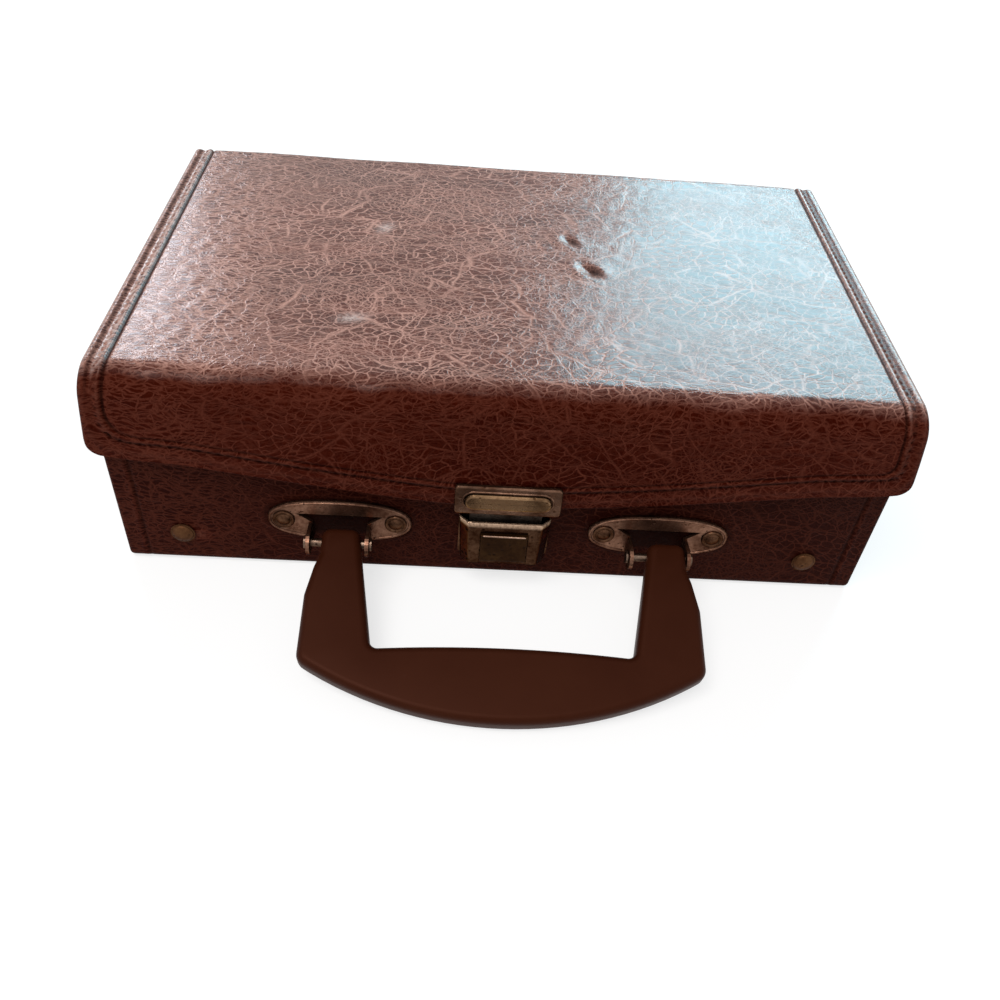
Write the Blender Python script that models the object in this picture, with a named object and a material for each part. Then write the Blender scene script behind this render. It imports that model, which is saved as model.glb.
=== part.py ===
"""Carrying case for sixteen cassettes, in leatherette over fibreboard.

The base holds two moulded trays and is closed by a lid whose front flap carries a latch.
The lid turns on the bend of the leatherette along the back, a flat handle swings in two
stamped brackets, and a spring-loaded button slides down on the lock.
Lengths are in metres. +X is to the right, +Y to the back, +Z up. The origin is the middle
of the base's underside. A standoff is a distance in front of the base's front face.
"""
import math

import bmesh
import bpy
from mathutils import Vector

# Layers of the walls, and the gap between two pieces that touch
COVER = 0.0008
BOARD = 0.0015
LINER = 0.0008
GAP = 0.0003
FIXING_ROOM = 0.0020
COLLAR_HEIGHT = 0.0605
COLLAR_CORNER = 0.0015

# Trays, which take cassettes in their boxes, standing on edge
SLOT_LENGTH = 0.1105
SLOT_WIDTH = 0.0171
SLOT_COUNT = 8
CASSETTE_HEIGHT = 0.0700
HEADROOM = 0.0019
TRAY_HEIGHT = 0.0450
TRAY_WALL = 0.0009
TRAY_FLOOR = 0.0008
TRAY_RAIL = 0.0060
RIB_DEPTH = 0.0040
RIB_THICKNESS = 0.0008
PAD_THICKNESS = 0.0015
PAD_MARGIN = 0.0030
PAD_CORNER = 0.0060

# Outside of the case, which is built round the trays
LID_OVERSIZE = 0.00035
LID_FLARE = 0.0017
RIM_HEIGHT = 0.0543
BAND_WIDTH = 0.0073
LID_FRONT_ROUND = 0.0085
LID_BACK_ROUND = 0.0045
BASE_ROUND = 0.0030
END_ROUND = 0.0014
BOARD_ROUND = 0.0006

# Front flap, which stands clear of the base and hangs in a shallow V
TOP_STANDOFF = 0.00265
FLAP_STANDOFF = 0.0067
FLAP_LOW = 0.0380
FLAP_CORNER = 0.0045
FLAP_HEM = 0.0010
FLAP_CURVE_POWER = 1.35
FRONT_CURVE_SHARES = (0, 0.2, 0.4, 0.6, 0.78)

# Latch plate on the flap, and the bar let into it
LATCH_X = 0.0012
HASP_WIDTH = 0.0340
HASP_DROP = 0.0012
HASP_HEIGHT = 0.0115
HASP_THICKNESS = 0.0014
HASP_CORNER = 0.0012
HASP_EDGE = 0.0005
BAR_LENGTH = 0.0275
BAR_HEIGHT = 0.0060
BAR_THICKNESS = 0.0016
BAR_EDGE = 0.0007
BAR_POCKET = 0.0007
BAR_RIVET_RADIUS = 0.0011
BAR_RIVET_SPACING = 0.0150
BAR_TAIL_RADIUS = 0.0019
BAR_TAIL = 0.0004

# Tongue, bent from one steel strip, with a leg inside the flap
TONGUE_WIDTH = 0.0237
TONGUE_THICKNESS = 0.0010
TONGUE_STANDOFF = 0.0036
TONGUE_ENGAGEMENT = 0.0062
TONGUE_LEG_HEIGHT = 0.0100
TONGUE_SLOT_WIDTH = 0.0090
TONGUE_SLOT_HEIGHT = 0.0026
TONGUE_SLOT_RISE = 0.0016

# Lock, a pressed case on a back plate with prongs through the wall
LOCK_LOW = 0.0120
LOCK_HEIGHT = 0.0192
LOCK_WIDTH = 0.0303
LOCK_TAPER = 0.0009
LOCK_CHAMFER = 0.0030
LOCK_STANDOFF = 0.0068
LOCK_WALL = 0.0007
LOCK_EDGE = 0.0005
LOCK_PLATE = 0.0009
LOCK_RECESS = 0.0007
LOCK_BAND = 0.0042
PRONG_WIDTH = 0.0030
PRONG_THICKNESS = 0.0008
PRONG_SPACING = 0.0200
PRONG_INSET = 0.0030
PRONG_TAIL = 0.0003
BACKING = 0.0006

# Release button, the return spring under it and the leaf that catches the tongue
SLIDE_WIDTH = 0.0156
SLIDE_THICKNESS = 0.0010
SLIDE_TRAVEL = 0.0020
SLIDE_EDGE = 0.0003
LIP_THICKNESS = 0.0008
LIP_DEPTH = 0.0007
STEM_WIDTH = 0.0074
STEM_HEIGHT = 0.0040
STEM_RISE = 0.0070
FLANGE_MARGIN = 0.00125
FLANGE_WIDTH = 0.0120
FLANGE_THICKNESS = 0.0008
FLANGE_FOOT_WIDTH = 0.0040
FLANGE_FOOT_HEIGHT = 0.0010
SPRING_RADIUS = 0.0011
SPRING_WIRE_RADIUS = 0.00018
SPRING_TURNS = 4
LEAF_WIDTH = 0.0060
LEAF_THICKNESS = 0.0004
LEAF_BOW = 0.0004
LEAF_FOOT = 0.0020
TOOTH_HEIGHT = 0.0018

# Handle
HANDLE_SHIFT = 0.0017
HANDLE_SHOULDER = 0.0094
HANDLE_REACH = 0.0598
HANDLE_SIDE_END = 0.0420
HANDLE_CORNER = 0.0035
HANDLE_THICKNESS = 0.0080
HANDLE_EDGE = 0.0024
HANDLE_DROOP_DEGREES = 15.7
LEG_SPREAD = 0.0009
NECK_WIDTH = 0.0122
NECK_END = 0.0042
NECK_LENGTH = 0.0055
NECK_CORNER = 0.0032
LEG_BULGE = 0.0014
LEG_BULGE_AT = 0.0100
LEG_FULL_AT = 0.0200
OPENING_TOP_INSET = 0.0081
OPENING_TOP_AT = 0.0083
OPENING_LOW_INSET = 0.0131
OPENING_REACH = 0.0353
OPENING_SAG = 0.0018
OPENING_CORNER = 0.0020

# Pins and brackets that hold the handle
PIN_RADIUS = 0.0014
PIN_CLEARANCE = 0.0002
PIN_HEAD_RADIUS = 0.0022
PIN_HEAD = 0.0006
PIN_DROP = 0.0039
PIN_STANDOFF = 0.0079
BRACKET_SPACING = 0.1068
BRACKET_WIDTH = 0.0475
BRACKET_HEIGHT = 0.0174
BRACKET_MIDDLE = 0.0236
BRACKET_THICKNESS = 0.0012
BRACKET_EDGE = 0.0004
BRACKET_OVAL_POWER = 2.4
BRACKET_BAND = 0.0059
WINDOW_HALF = 0.0143
EAR_GAP = 0.0180
EAR_THICKNESS = 0.0012
EAR_RISE = 0.0028
EAR_RADIUS = 0.0040
RIVET_SPACING = 0.0370
RIVET_HEAD_RADIUS = 0.0037
RIVET_HEAD = 0.0015
RIVET_SHANK_RADIUS = 0.0016
RIVET_TAIL_RADIUS = 0.0024
RIVET_TAIL = 0.0004
BACKING_LENGTH = 0.0430
BACKING_HEIGHT = 0.0080

# Studs low on the front
STUD_INSET = 0.02005
STUD_HEIGHT = 0.0135
STUD_RADIUS = 0.00405
STUD_DOME = 0.0018
STUD_SHANK_RADIUS = 0.0012

# One overrun for every cut, and how finely curves are divided
OVERRUN = 0.0060
ARC_STEPS = 6
ROUND_SIDES = 20
OVAL_SIDES = 36
ROUND_END_SHARE = 0.999
FLAP_STEPS = 14
CORNER_STEPS = 4
BEVEL_STEPS = 2

WALL = COVER + GAP + BOARD
TRAY_LENGTH = SLOT_COUNT * (SLOT_WIDTH + RIB_THICKNESS) - RIB_THICKNESS + 2 * TRAY_WALL
TRAY_WIDTH = SLOT_LENGTH + 2 * TRAY_RAIL
LINER_LENGTH = TRAY_LENGTH + 2 * GAP + 2 * LINER
LINER_WIDTH = 2 * TRAY_WIDTH + 3 * GAP + 2 * LINER
BASE_DEPTH = LINER_LENGTH + FIXING_ROOM + GAP + 2 * WALL
BASE_WIDTH = LINER_WIDTH + 2 * GAP + 2 * WALL
LID_WIDTH = BASE_WIDTH + 2 * LID_OVERSIZE
FLOOR_TOP = WALL + GAP
CASE_HEIGHT = FLOOR_TOP + TRAY_FLOOR + CASSETTE_HEIGHT + HEADROOM + PAD_THICKNESS + GAP + WALL
STUD_SPACING = BASE_WIDTH - 2 * STUD_INSET
LEG_SPACING = BRACKET_SPACING + 2 * LEG_SPREAD
HANDLE_HALF_WIDTH = LEG_SPACING / 2 + HANDLE_SHOULDER
OPENING_TOP_HALF = LEG_SPACING / 2 - OPENING_TOP_INSET
OPENING_LOW_HALF = LEG_SPACING / 2 - OPENING_LOW_INSET
BASE_FRONT = -BASE_DEPTH / 2
BASE_BACK = BASE_DEPTH / 2
LINER_FRONT = BASE_FRONT + WALL + FIXING_ROOM
LINER_BACK = LINER_FRONT + LINER_LENGTH
LID_RIM = RIM_HEIGHT + GAP / 2
BASE_RIM = RIM_HEIGHT - GAP / 2
PIN_HEIGHT = BRACKET_MIDDLE - PIN_DROP
LOCK_TOP = LOCK_LOW + LOCK_HEIGHT
LOCK_INNER = LOCK_STANDOFF - LOCK_WALL
RECESS_TOP = LOCK_TOP - LOCK_BAND
RECESS_INNER = LOCK_INNER - LOCK_RECESS
HASP_LOW = FLAP_LOW - HASP_DROP
HASP_BACK = FLAP_STANDOFF + GAP
BAR_MIDDLE = HASP_LOW + HASP_HEIGHT / 2
LEAF_STANDOFF = LOCK_PLATE + 2 * GAP


def clear_scene():
    for obj in list(bpy.data.objects):
        bpy.data.objects.remove(obj, do_unlink=True)


def look(name, colour, roughness, metallic):
    made = bpy.data.materials.new(name)
    made.use_nodes = True
    made.diffuse_color = (*colour, 1)
    shader = made.node_tree.nodes["Principled BSDF"]
    shader.inputs["Base Color"].default_value = (*colour, 1)
    shader.inputs["Roughness"].default_value = roughness
    shader.inputs["Metallic"].default_value = metallic
    return made


def make_looks():
    return {
        "leatherette": look("leatherette", (0.16, 0.045, 0.03), 0.45, 0),
        "fibreboard": look("fibreboard", (0.42, 0.33, 0.22), 0.85, 0),
        "lining": look("lining", (0.10, 0.045, 0.03), 0.9, 0),
        "tray plastic": look("tray plastic", (0.03, 0.02, 0.018), 0.5, 0),
        "foam": look("foam", (0.12, 0.06, 0.045), 0.95, 0),
        "handle plastic": look("handle plastic", (0.07, 0.022, 0.014), 0.4, 0),
        "nickel": look("nickel", (0.42, 0.36, 0.30), 0.42, 1),
        "brass": look("brass", (0.45, 0.33, 0.17), 0.38, 1),
        "steel": look("steel", (0.35, 0.34, 0.34), 0.4, 1),
    }


def point_on(axis, first, second, along):
    """The point with two coordinates in the plane across an axis, and one along it."""
    return {
        "X": (along, first, second),
        "Y": (first, along, second),
        "Z": (first, second, along),
    }[axis]


def prism(outline, low, high, axis):
    """An outline in the plane across an axis, extruded along it."""
    shape = bmesh.new()
    start = [shape.verts.new(point_on(axis, a, b, low)) for a, b in outline]
    end = [shape.verts.new(point_on(axis, a, b, high)) for a, b in outline]
    shape.faces.new(start)
    shape.faces.new(end)
    for i, corner in enumerate(start):
        j = (i + 1) % len(start)
        shape.faces.new((corner, start[j], end[j], end[i]))
    bmesh.ops.recalc_face_normals(shape, faces=shape.faces)
    return shape


def round_edges(shape, radius, chosen, steps=BEVEL_STEPS):
    """Round the edges whose two ends satisfy a test."""
    edges = [edge for edge in shape.edges if chosen(edge.verts[0].co, edge.verts[1].co)]
    bmesh.ops.bevel(
        shape, geom=edges, offset=radius, segments=steps, profile=0.5, affect="EDGES"
    )
    return shape


def both_at(axis, value):
    """A test for edges that lie in one plane across an axis."""
    near = GAP / 10
    number = "XYZ".index(axis)
    return lambda a, b: abs(a[number] - value) < near and abs(b[number] - value) < near


def rounded(corners, steps=ARC_STEPS):
    """An outline of corners (first, second, radius), with an arc at each that has a radius."""
    outline = []
    for i, (first, second, radius) in enumerate(corners):
        corner = Vector((first, second))
        if radius <= 0:
            outline.append((first, second))
            continue
        before = (Vector(corners[i - 1][:2]) - corner).normalized()
        after = (Vector(corners[(i + 1) % len(corners)][:2]) - corner).normalized()
        half = before.angle(after) / 2
        centre = corner + (before + after).normalized() * radius / math.sin(half)
        reach = radius / math.tan(half)
        arm = corner + before * reach - centre
        start = math.atan2(arm.y, arm.x)
        turn = math.pi - 2 * half
        if before.x * after.y - before.y * after.x > 0:
            turn = -turn
        for step in range(steps + 1):
            angle = start + turn * step / steps
            outline.append(
                (centre.x + radius * math.cos(angle), centre.y + radius * math.sin(angle))
            )
    return outline


def rectangle(left, low, right, high, radius=0):
    return rounded(
        [(left, low, radius), (right, low, radius), (right, high, radius), (left, high, radius)]
    )


def box(left, front, low, right, back, high):
    return prism(rectangle(left, front, right, back), low, high, "Z")


def circle(radius, centre=(0, 0), sides=ROUND_SIDES):
    turns = [2 * math.pi * i / sides for i in range(sides)]
    return [(centre[0] + radius * math.cos(t), centre[1] + radius * math.sin(t)) for t in turns]


def rod(radius, x, z, back, front):
    """A round rod across the front wall, between two standoffs."""
    return prism(circle(radius, (x, z)), BASE_FRONT - front, BASE_FRONT - back, "Y")


def turned(profile, x, z):
    """A solid turned about a line across the front wall, from (radius, standoff) points."""
    shape = bmesh.new()
    rings = []
    for radius, standoff in profile:
        y = BASE_FRONT - standoff
        if radius == 0:
            rings.append([shape.verts.new((x, y, z))])
        else:
            rings.append([shape.verts.new((a, y, b)) for a, b in circle(radius, (x, z))])
    for ring, following in zip(rings, rings[1:]):
        for i in range(ROUND_SIDES):
            j = (i + 1) % ROUND_SIDES
            corners = [ring[i % len(ring)], ring[j % len(ring)]]
            corners += [following[j % len(following)], following[i % len(following)]]
            shape.faces.new(list(dict.fromkeys(corners)))
    bmesh.ops.recalc_face_normals(shape, faces=shape.faces)
    return shape


def object_of(name, shape):
    mesh = bpy.data.meshes.new(name)
    shape.to_mesh(mesh)
    shape.free()
    obj = bpy.data.objects.new(name, mesh)
    bpy.context.scene.collection.objects.link(obj)
    return obj


def combined(obj, shape, operation):
    """An object after a Boolean with another shape, which is used up."""
    tool = object_of("tool", shape)
    boolean = obj.modifiers.new(operation, "BOOLEAN")
    boolean.operation = operation
    boolean.object = tool
    bpy.context.view_layer.update()
    graph = bpy.context.evaluated_depsgraph_get()
    result = bpy.data.meshes.new_from_object(obj.evaluated_get(graph))
    obj.modifiers.clear()
    obj.data = result
    result.name = obj.name
    bpy.data.objects.remove(tool, do_unlink=True)
    return obj


def cut(obj, *shapes):
    for shape in shapes:
        combined(obj, shape, "DIFFERENCE")
    return obj


def joined(obj, *shapes):
    for shape in shapes:
        combined(obj, shape, "UNION")
    return obj


def finish(obj, material, pivot=None, smooth_degrees=None):
    """Give a piece its material, its shading and the empty that it turns or slides with."""
    obj.data.materials.clear()
    obj.data.materials.append(material)
    if smooth_degrees is not None:
        obj.data.shade_smooth()
        obj.data.set_sharp_from_angle(angle=math.radians(smooth_degrees))
    if pivot is not None:
        obj.parent = pivot
        obj.matrix_parent_inverse = pivot.matrix_world.inverted()
    return obj


def pivot_at(name, place):
    empty = bpy.data.objects.new(name, None)
    bpy.context.scene.collection.objects.link(empty)
    empty.location = place
    empty.empty_display_size = PIN_STANDOFF
    bpy.context.view_layer.update()
    return empty


def front_standoff(height):
    """Standoff of the lid's front at a height: least at the top, and level at the flap's foot."""
    share = (height - FLAP_LOW) / (CASE_HEIGHT - FLAP_LOW)
    return FLAP_STANDOFF - (FLAP_STANDOFF - TOP_STANDOFF) * share**2


def lid_front_line(inset):
    """Points of the lid's front, from the flap's foot towards the top edge."""
    heights = [FLAP_LOW + (CASE_HEIGHT - FLAP_LOW) * share for share in FRONT_CURVE_SHARES]
    return [(BASE_FRONT - front_standoff(z) + inset, z, 0) for z in heights]


def lid_top_corners(inset):
    """The two rounded corners of the lid's section, front and back."""
    top = CASE_HEIGHT - inset
    front = BASE_FRONT - TOP_STANDOFF + inset
    return [
        (front, top, LID_FRONT_ROUND - inset),
        (BASE_BACK - inset, top, LID_BACK_ROUND - inset),
    ]


def lid_outside(inset):
    """Section of the lid's outer form; below the rim only the front goes on, for the flap."""
    behind_flap = BASE_FRONT - TOP_STANDOFF
    corners = lid_front_line(inset) + lid_top_corners(inset)
    corners += [(BASE_BACK - inset, LID_RIM, 0), (behind_flap, LID_RIM, 0)]
    corners += [(behind_flap, FLAP_LOW, 0)]
    return rounded(corners)


def lid_inside(inset):
    """Section of the space inside a layer of the lid, open below."""
    below = FLAP_LOW - OVERRUN
    corners = [(BASE_FRONT - FLAP_STANDOFF + inset, below, 0)]
    corners += lid_front_line(inset) + lid_top_corners(inset)
    corners += [(BASE_BACK - inset, below, 0)]
    return rounded(corners)


def base_section(inset, top):
    """Section of the base, rounded below and open to a height."""
    front = BASE_FRONT + inset
    back = BASE_BACK - inset
    radius = BASE_ROUND - inset
    return rounded([(front, top, 0), (front, inset, radius), (back, inset, radius), (back, top, 0)])


def flap_edge(hem):
    """Points along the flap's lower edge: a shallow V that lifts in a round at each corner."""
    half = LID_WIDTH / 2 + LID_FLARE

    def height(x):
        rise = (LID_RIM - FLAP_LOW) * (abs(x) / half) ** FLAP_CURVE_POWER
        return FLAP_LOW + hem + rise

    straight = half - FLAP_CORNER
    middle = [straight * i / FLAP_STEPS for i in range(-FLAP_STEPS, FLAP_STEPS + 1)]
    points = [(x, height(x)) for x in middle]
    for i in range(1, CORNER_STEPS + 1):
        angle = math.pi / 2 * i / CORNER_STEPS
        x = straight + FLAP_CORNER * math.sin(angle)
        lift = FLAP_CORNER * (1 - math.cos(angle))
        points.append((x, height(x) + lift))
        points.insert(0, (-x, height(x) + lift))
    return points


def below_flap(hem):
    """The space under the flap's edge, to be cut from the lid's front."""
    edge = flap_edge(hem)
    side = edge[-1][0] + OVERRUN
    low = FLAP_LOW - OVERRUN
    outline = [(-side, low), (-side, edge[0][1])] + edge + [(side, edge[-1][1]), (side, low)]
    front = BASE_FRONT - FLAP_STANDOFF - OVERRUN
    return prism(outline, front, BASE_FRONT - TOP_STANDOFF + GAP, "Y")


def flared(obj):
    """Widen a piece of the lid towards its rim."""
    most = LID_FLARE / (LID_WIDTH / 2)
    for vertex in obj.data.vertices:
        share = (CASE_HEIGHT - vertex.co.z) / (CASE_HEIGHT - RIM_HEIGHT)
        vertex.co.x *= 1 + most * share
    return obj


def end_capped(outline, low, high, radius, ends, keep_open):
    """An extrusion along X with the outlines of some ends rounded, but not along its open rim."""
    shape = prism(outline, low, high, "X")
    for end in ends:
        at_end = both_at("X", end)
        round_edges(shape, radius, lambda a, b: at_end(a, b) and not keep_open(a, b))
    return shape


def along_lid_rim(a, b):
    """Edges of the lid's section that lie along its rim or down the inside of the flap."""
    middle = (a + b) / 2
    low = middle.z < LID_RIM + GAP
    return low


def along_base_rim(a, b):
    return a.z > BASE_RIM - GAP / 10 and b.z > BASE_RIM - GAP / 10


def latch_holes(radius):
    """Rods for the holes of the bar's two rivets, through the flap and all that it carries."""
    spacing = BAR_RIVET_SPACING / 2
    return [
        rod(radius, LATCH_X + side * spacing, BAR_MIDDLE, 0, HASP_BACK + HASP_THICKNESS + OVERRUN)
        for side in (-1, 1)
    ]


def front_wall_holes():
    """Holes through the base's front for rivets, studs and the lock's prongs."""
    tools = [
        rod(RIVET_SHANK_RADIUS + GAP, x, BRACKET_MIDDLE, -WALL - GAP, OVERRUN)
        for x in rivet_places()
    ]
    tools += [
        rod(STUD_SHANK_RADIUS + GAP, side * STUD_SPACING / 2, STUD_HEIGHT, -WALL - GAP, OVERRUN)
        for side in (-1, 1)
    ]
    return tools + prongs(GAP, -WALL - GAP, OVERRUN)


def rivet_places():
    return [
        side * BRACKET_SPACING / 2 + hand * RIVET_SPACING / 2
        for side in (-1, 1)
        for hand in (-1, 1)
    ]


def prongs(margin, back, front):
    """The lock's four prongs between two standoffs, larger by a margin all round."""
    shapes = []
    for side in (-1, 1):
        for z in (LOCK_LOW + PRONG_INSET, LOCK_TOP - PRONG_INSET):
            x = LATCH_X + side * PRONG_SPACING / 2
            across = PRONG_WIDTH / 2 + margin
            up = PRONG_THICKNESS / 2 + margin
            shapes.append(
                box(x - across, BASE_FRONT - front, z - up, x + across, BASE_FRONT - back, z + up)
            )
    return shapes


def make_base(looks):
    """The fibreboard box, the skin round it and the two end skins."""
    half = BASE_WIDTH / 2
    outer = COVER + GAP
    board = object_of(
        "base_board",
        end_capped(
            base_section(outer, BASE_RIM),
            outer - half,
            half - outer,
            BOARD_ROUND,
            (outer - half, half - outer),
            along_base_rim,
        ),
    )
    cut(board, prism(base_section(WALL, BASE_RIM + OVERRUN), WALL - half, half - WALL, "X"))
    cut(board, *front_wall_holes())
    finish(board, looks["fibreboard"])

    band = half - BAND_WIDTH
    skin = object_of(
        "base_cover",
        prism(base_section(0, BASE_RIM), GAP / 2 - band, band - GAP / 2, "X"),
    )
    inside = prism(base_section(COVER, BASE_RIM + OVERRUN), -half, half, "X")
    cut(skin, inside, *front_wall_holes())
    finish(skin, looks["leatherette"])

    for side, hand in ((-1, "left"), (1, "right")):
        low, high = sorted((side * (band + GAP / 2), side * half))
        end = object_of(
            f"base_end_{hand}",
            end_capped(
                base_section(0, BASE_RIM), low, high, END_ROUND, (side * half,), along_base_rim
            ),
        )
        low, high = sorted((side * (band - OVERRUN), side * (half - COVER)))
        inside = end_capped(
            base_section(COVER, BASE_RIM + OVERRUN),
            low,
            high,
            END_ROUND - COVER,
            (side * (half - COVER),),
            along_base_rim,
        )
        cut(end, inside)
        finish(end, looks["leatherette"])


def make_liner(looks):
    """The lining frame, which stands up inside the lid."""
    half = LINER_WIDTH / 2
    outline = rectangle(-half, LINER_FRONT, half, LINER_BACK, COLLAR_CORNER)
    liner = object_of("base_liner", prism(outline, FLOOR_TOP, COLLAR_HEIGHT, "Z"))
    inner = rectangle(
        LINER - half,
        LINER_FRONT + LINER,
        half - LINER,
        LINER_BACK - LINER,
        COLLAR_CORNER - LINER,
    )
    cut(liner, prism(inner, FLOOR_TOP - OVERRUN, COLLAR_HEIGHT + OVERRUN, "Z"))
    finish(liner, looks["lining"])


def comb_outline(left, right, front):
    """Plan of a tray's pocket, with a rib from each rail between neighbouring cassettes."""
    pitch = SLOT_WIDTH + RIB_THICKNESS
    one_side = []
    for number in range(SLOT_COUNT):
        start = front + number * pitch
        end = start + SLOT_WIDTH
        one_side += [(0, start), (0, end)]
        if number < SLOT_COUNT - 1:
            one_side += [(RIB_DEPTH, end), (RIB_DEPTH, end + RIB_THICKNESS)]
    rising = [(right - depth, y) for depth, y in one_side]
    falling = [(left + depth, y) for depth, y in reversed(one_side)]
    return rising + falling


def make_trays(looks):
    """Two moulded trays, side by side, with eight places each."""
    front = LINER_FRONT + LINER + GAP
    for side, hand in ((-1, "left"), (1, "right")):
        left, right = sorted((side * GAP / 2, side * (GAP / 2 + TRAY_WIDTH)))
        tray = object_of(
            f"tray_{hand}",
            box(left, front, FLOOR_TOP, right, front + TRAY_LENGTH, FLOOR_TOP + TRAY_HEIGHT),
        )
        pocket = comb_outline(left + TRAY_RAIL, right - TRAY_RAIL, front + TRAY_WALL)
        floor = FLOOR_TOP + TRAY_FLOOR
        cut(tray, prism(pocket, floor, floor + TRAY_HEIGHT, "Z"))
        finish(tray, looks["tray plastic"])


def make_lid(looks, pivot):
    """The lid's fibreboard with its flap, the skin over it, the end skins and the pad."""
    half = LID_WIDTH / 2
    outer = COVER + GAP
    board = object_of(
        "lid_board",
        end_capped(
            lid_outside(outer),
            outer - half,
            half - outer,
            BOARD_ROUND,
            (outer - half, half - outer),
            along_lid_rim,
        ),
    )
    cut(board, prism(lid_inside(WALL), WALL - half, half - WALL, "X"))
    flared(board)
    cut(board, below_flap(FLAP_HEM), *latch_holes(BAR_RIVET_RADIUS + GAP))
    finish(board, looks["fibreboard"], pivot)

    band = half - BAND_WIDTH
    skin = object_of(
        "lid_cover", prism(lid_outside(0), GAP / 2 - band, band - GAP / 2, "X")
    )
    cut(skin, prism(lid_inside(COVER), -half, half, "X"))
    flared(skin)
    cut(skin, below_flap(0), *latch_holes(BAR_RIVET_RADIUS + GAP))
    finish(skin, looks["leatherette"], pivot)

    for side, hand in ((-1, "left"), (1, "right")):
        low, high = sorted((side * (band + GAP / 2), side * half))
        end = object_of(
            f"lid_end_{hand}",
            end_capped(
                lid_outside(0), low, high, END_ROUND, (side * half,), along_lid_rim
            ),
        )
        low, high = sorted((side * (band - OVERRUN), side * (half - COVER)))
        inside = end_capped(
            lid_inside(COVER),
            low,
            high,
            END_ROUND - COVER,
            (side * (half - COVER),),
            along_lid_rim,
        )
        cut(end, inside)
        flared(end)
        cut(end, below_flap(0))
        finish(end, looks["leatherette"], pivot)

    top = CASE_HEIGHT - WALL - GAP
    across = half - WALL - PAD_MARGIN
    front = BASE_FRONT + WALL + PAD_MARGIN
    outline = rectangle(-across, front, across, BASE_BACK - WALL - PAD_MARGIN, PAD_CORNER)
    pad = object_of("lid_pad", prism(outline, top - PAD_THICKNESS, top, "Z"))
    finish(pad, looks["foam"], pivot)


def stadium(length, height, middle):
    """An outline with round ends, in the plane of the front."""
    radius = height / 2 * ROUND_END_SHARE
    left = LATCH_X - length / 2
    return rectangle(left, middle - height / 2, left + length, middle + height / 2, radius)


def make_hasp(looks, pivot):
    """The plate on the flap, the bar riveted into it and the tongue behind."""
    left = LATCH_X - HASP_WIDTH / 2
    outline = rectangle(
        left, HASP_LOW, left + HASP_WIDTH, HASP_LOW + HASP_HEIGHT, HASP_CORNER
    )
    face = BASE_FRONT - HASP_BACK - HASP_THICKNESS
    shape = prism(outline, face, BASE_FRONT - HASP_BACK, "Y")
    plate = object_of("hasp_plate", round_edges(shape, HASP_EDGE, both_at("Y", face)))
    pocket = stadium(BAR_LENGTH + 2 * GAP, BAR_HEIGHT + 2 * GAP, BAR_MIDDLE)
    cut(plate, prism(pocket, face - OVERRUN, face + BAR_POCKET, "Y"))
    cut(plate, *latch_holes(BAR_RIVET_RADIUS + GAP))
    finish(plate, looks["nickel"], pivot)

    seat = face + BAR_POCKET - GAP
    front = seat - BAR_THICKNESS
    shape = prism(stadium(BAR_LENGTH, BAR_HEIGHT, BAR_MIDDLE), front, seat, "Y")
    bar = object_of("hasp_bar", round_edges(shape, BAR_EDGE, both_at("Y", front)))
    leg_back = tongue_leg_front() - TONGUE_THICKNESS
    tail_front = leg_back - GAP
    for side in (-1, 1):
        x = LATCH_X + side * BAR_RIVET_SPACING / 2
        inside_bar = HASP_BACK + HASP_THICKNESS
        joined(bar, rod(BAR_RIVET_RADIUS, x, BAR_MIDDLE, tail_front - BAR_TAIL, inside_bar))
        joined(bar, rod(BAR_TAIL_RADIUS, x, BAR_MIDDLE, tail_front - BAR_TAIL, tail_front))
    finish(bar, looks["brass"], pivot, smooth_degrees=40)

    finish(make_tongue(), looks["steel"], pivot)


def tongue_leg_front():
    """Standoff of the front of the tongue's leg, which lies inside the flap."""
    top = FLAP_LOW + TONGUE_LEG_HEIGHT
    return front_standoff(top) - WALL - GAP


def make_tongue():
    """A strip bent in a Z: a leg inside the flap, a web under its edge and the tongue itself."""
    leg_front = tongue_leg_front()
    leg_back = leg_front - TONGUE_THICKNESS
    blade_front = TONGUE_STANDOFF + TONGUE_THICKNESS
    web_top = FLAP_LOW - GAP
    web_low = web_top - TONGUE_THICKNESS
    tip = LOCK_TOP - TONGUE_ENGAGEMENT
    section = [
        (leg_back, web_low),
        (leg_back, web_low + TONGUE_LEG_HEIGHT),
        (leg_front, web_low + TONGUE_LEG_HEIGHT),
        (leg_front, web_top),
        (blade_front, web_top),
        (blade_front, tip),
        (TONGUE_STANDOFF, tip),
        (TONGUE_STANDOFF, web_low),
    ]
    outline = [(BASE_FRONT - standoff, z) for standoff, z in section]
    half = TONGUE_WIDTH / 2
    tongue = object_of("hasp_tongue", prism(outline, LATCH_X - half, LATCH_X + half, "X"))
    across = TONGUE_SLOT_WIDTH / 2
    low = tip + TONGUE_SLOT_RISE
    slot = box(
        LATCH_X - across,
        BASE_FRONT - blade_front - GAP,
        low,
        LATCH_X + across,
        BASE_FRONT - TONGUE_STANDOFF + GAP,
        low + TONGUE_SLOT_HEIGHT,
    )
    return cut(tongue, slot, *latch_holes(BAR_RIVET_RADIUS + GAP))


def lock_plan(inset, standoff, back):
    """Plan of the lock's case at an inset, up to a standoff, with its front corners cut off."""
    half = LOCK_WIDTH / 2 - inset
    short_of_face = LOCK_STANDOFF - inset - standoff
    chamfer = LOCK_CHAMFER - inset * (2 - math.sqrt(2)) - short_of_face
    front = BASE_FRONT - standoff
    right = [(half, back), (half, front + chamfer), (half - chamfer, front)]
    left = [(-x, y) for x, y in reversed(right)]
    return [(LATCH_X + x, y) for x, y in right + left]


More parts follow.
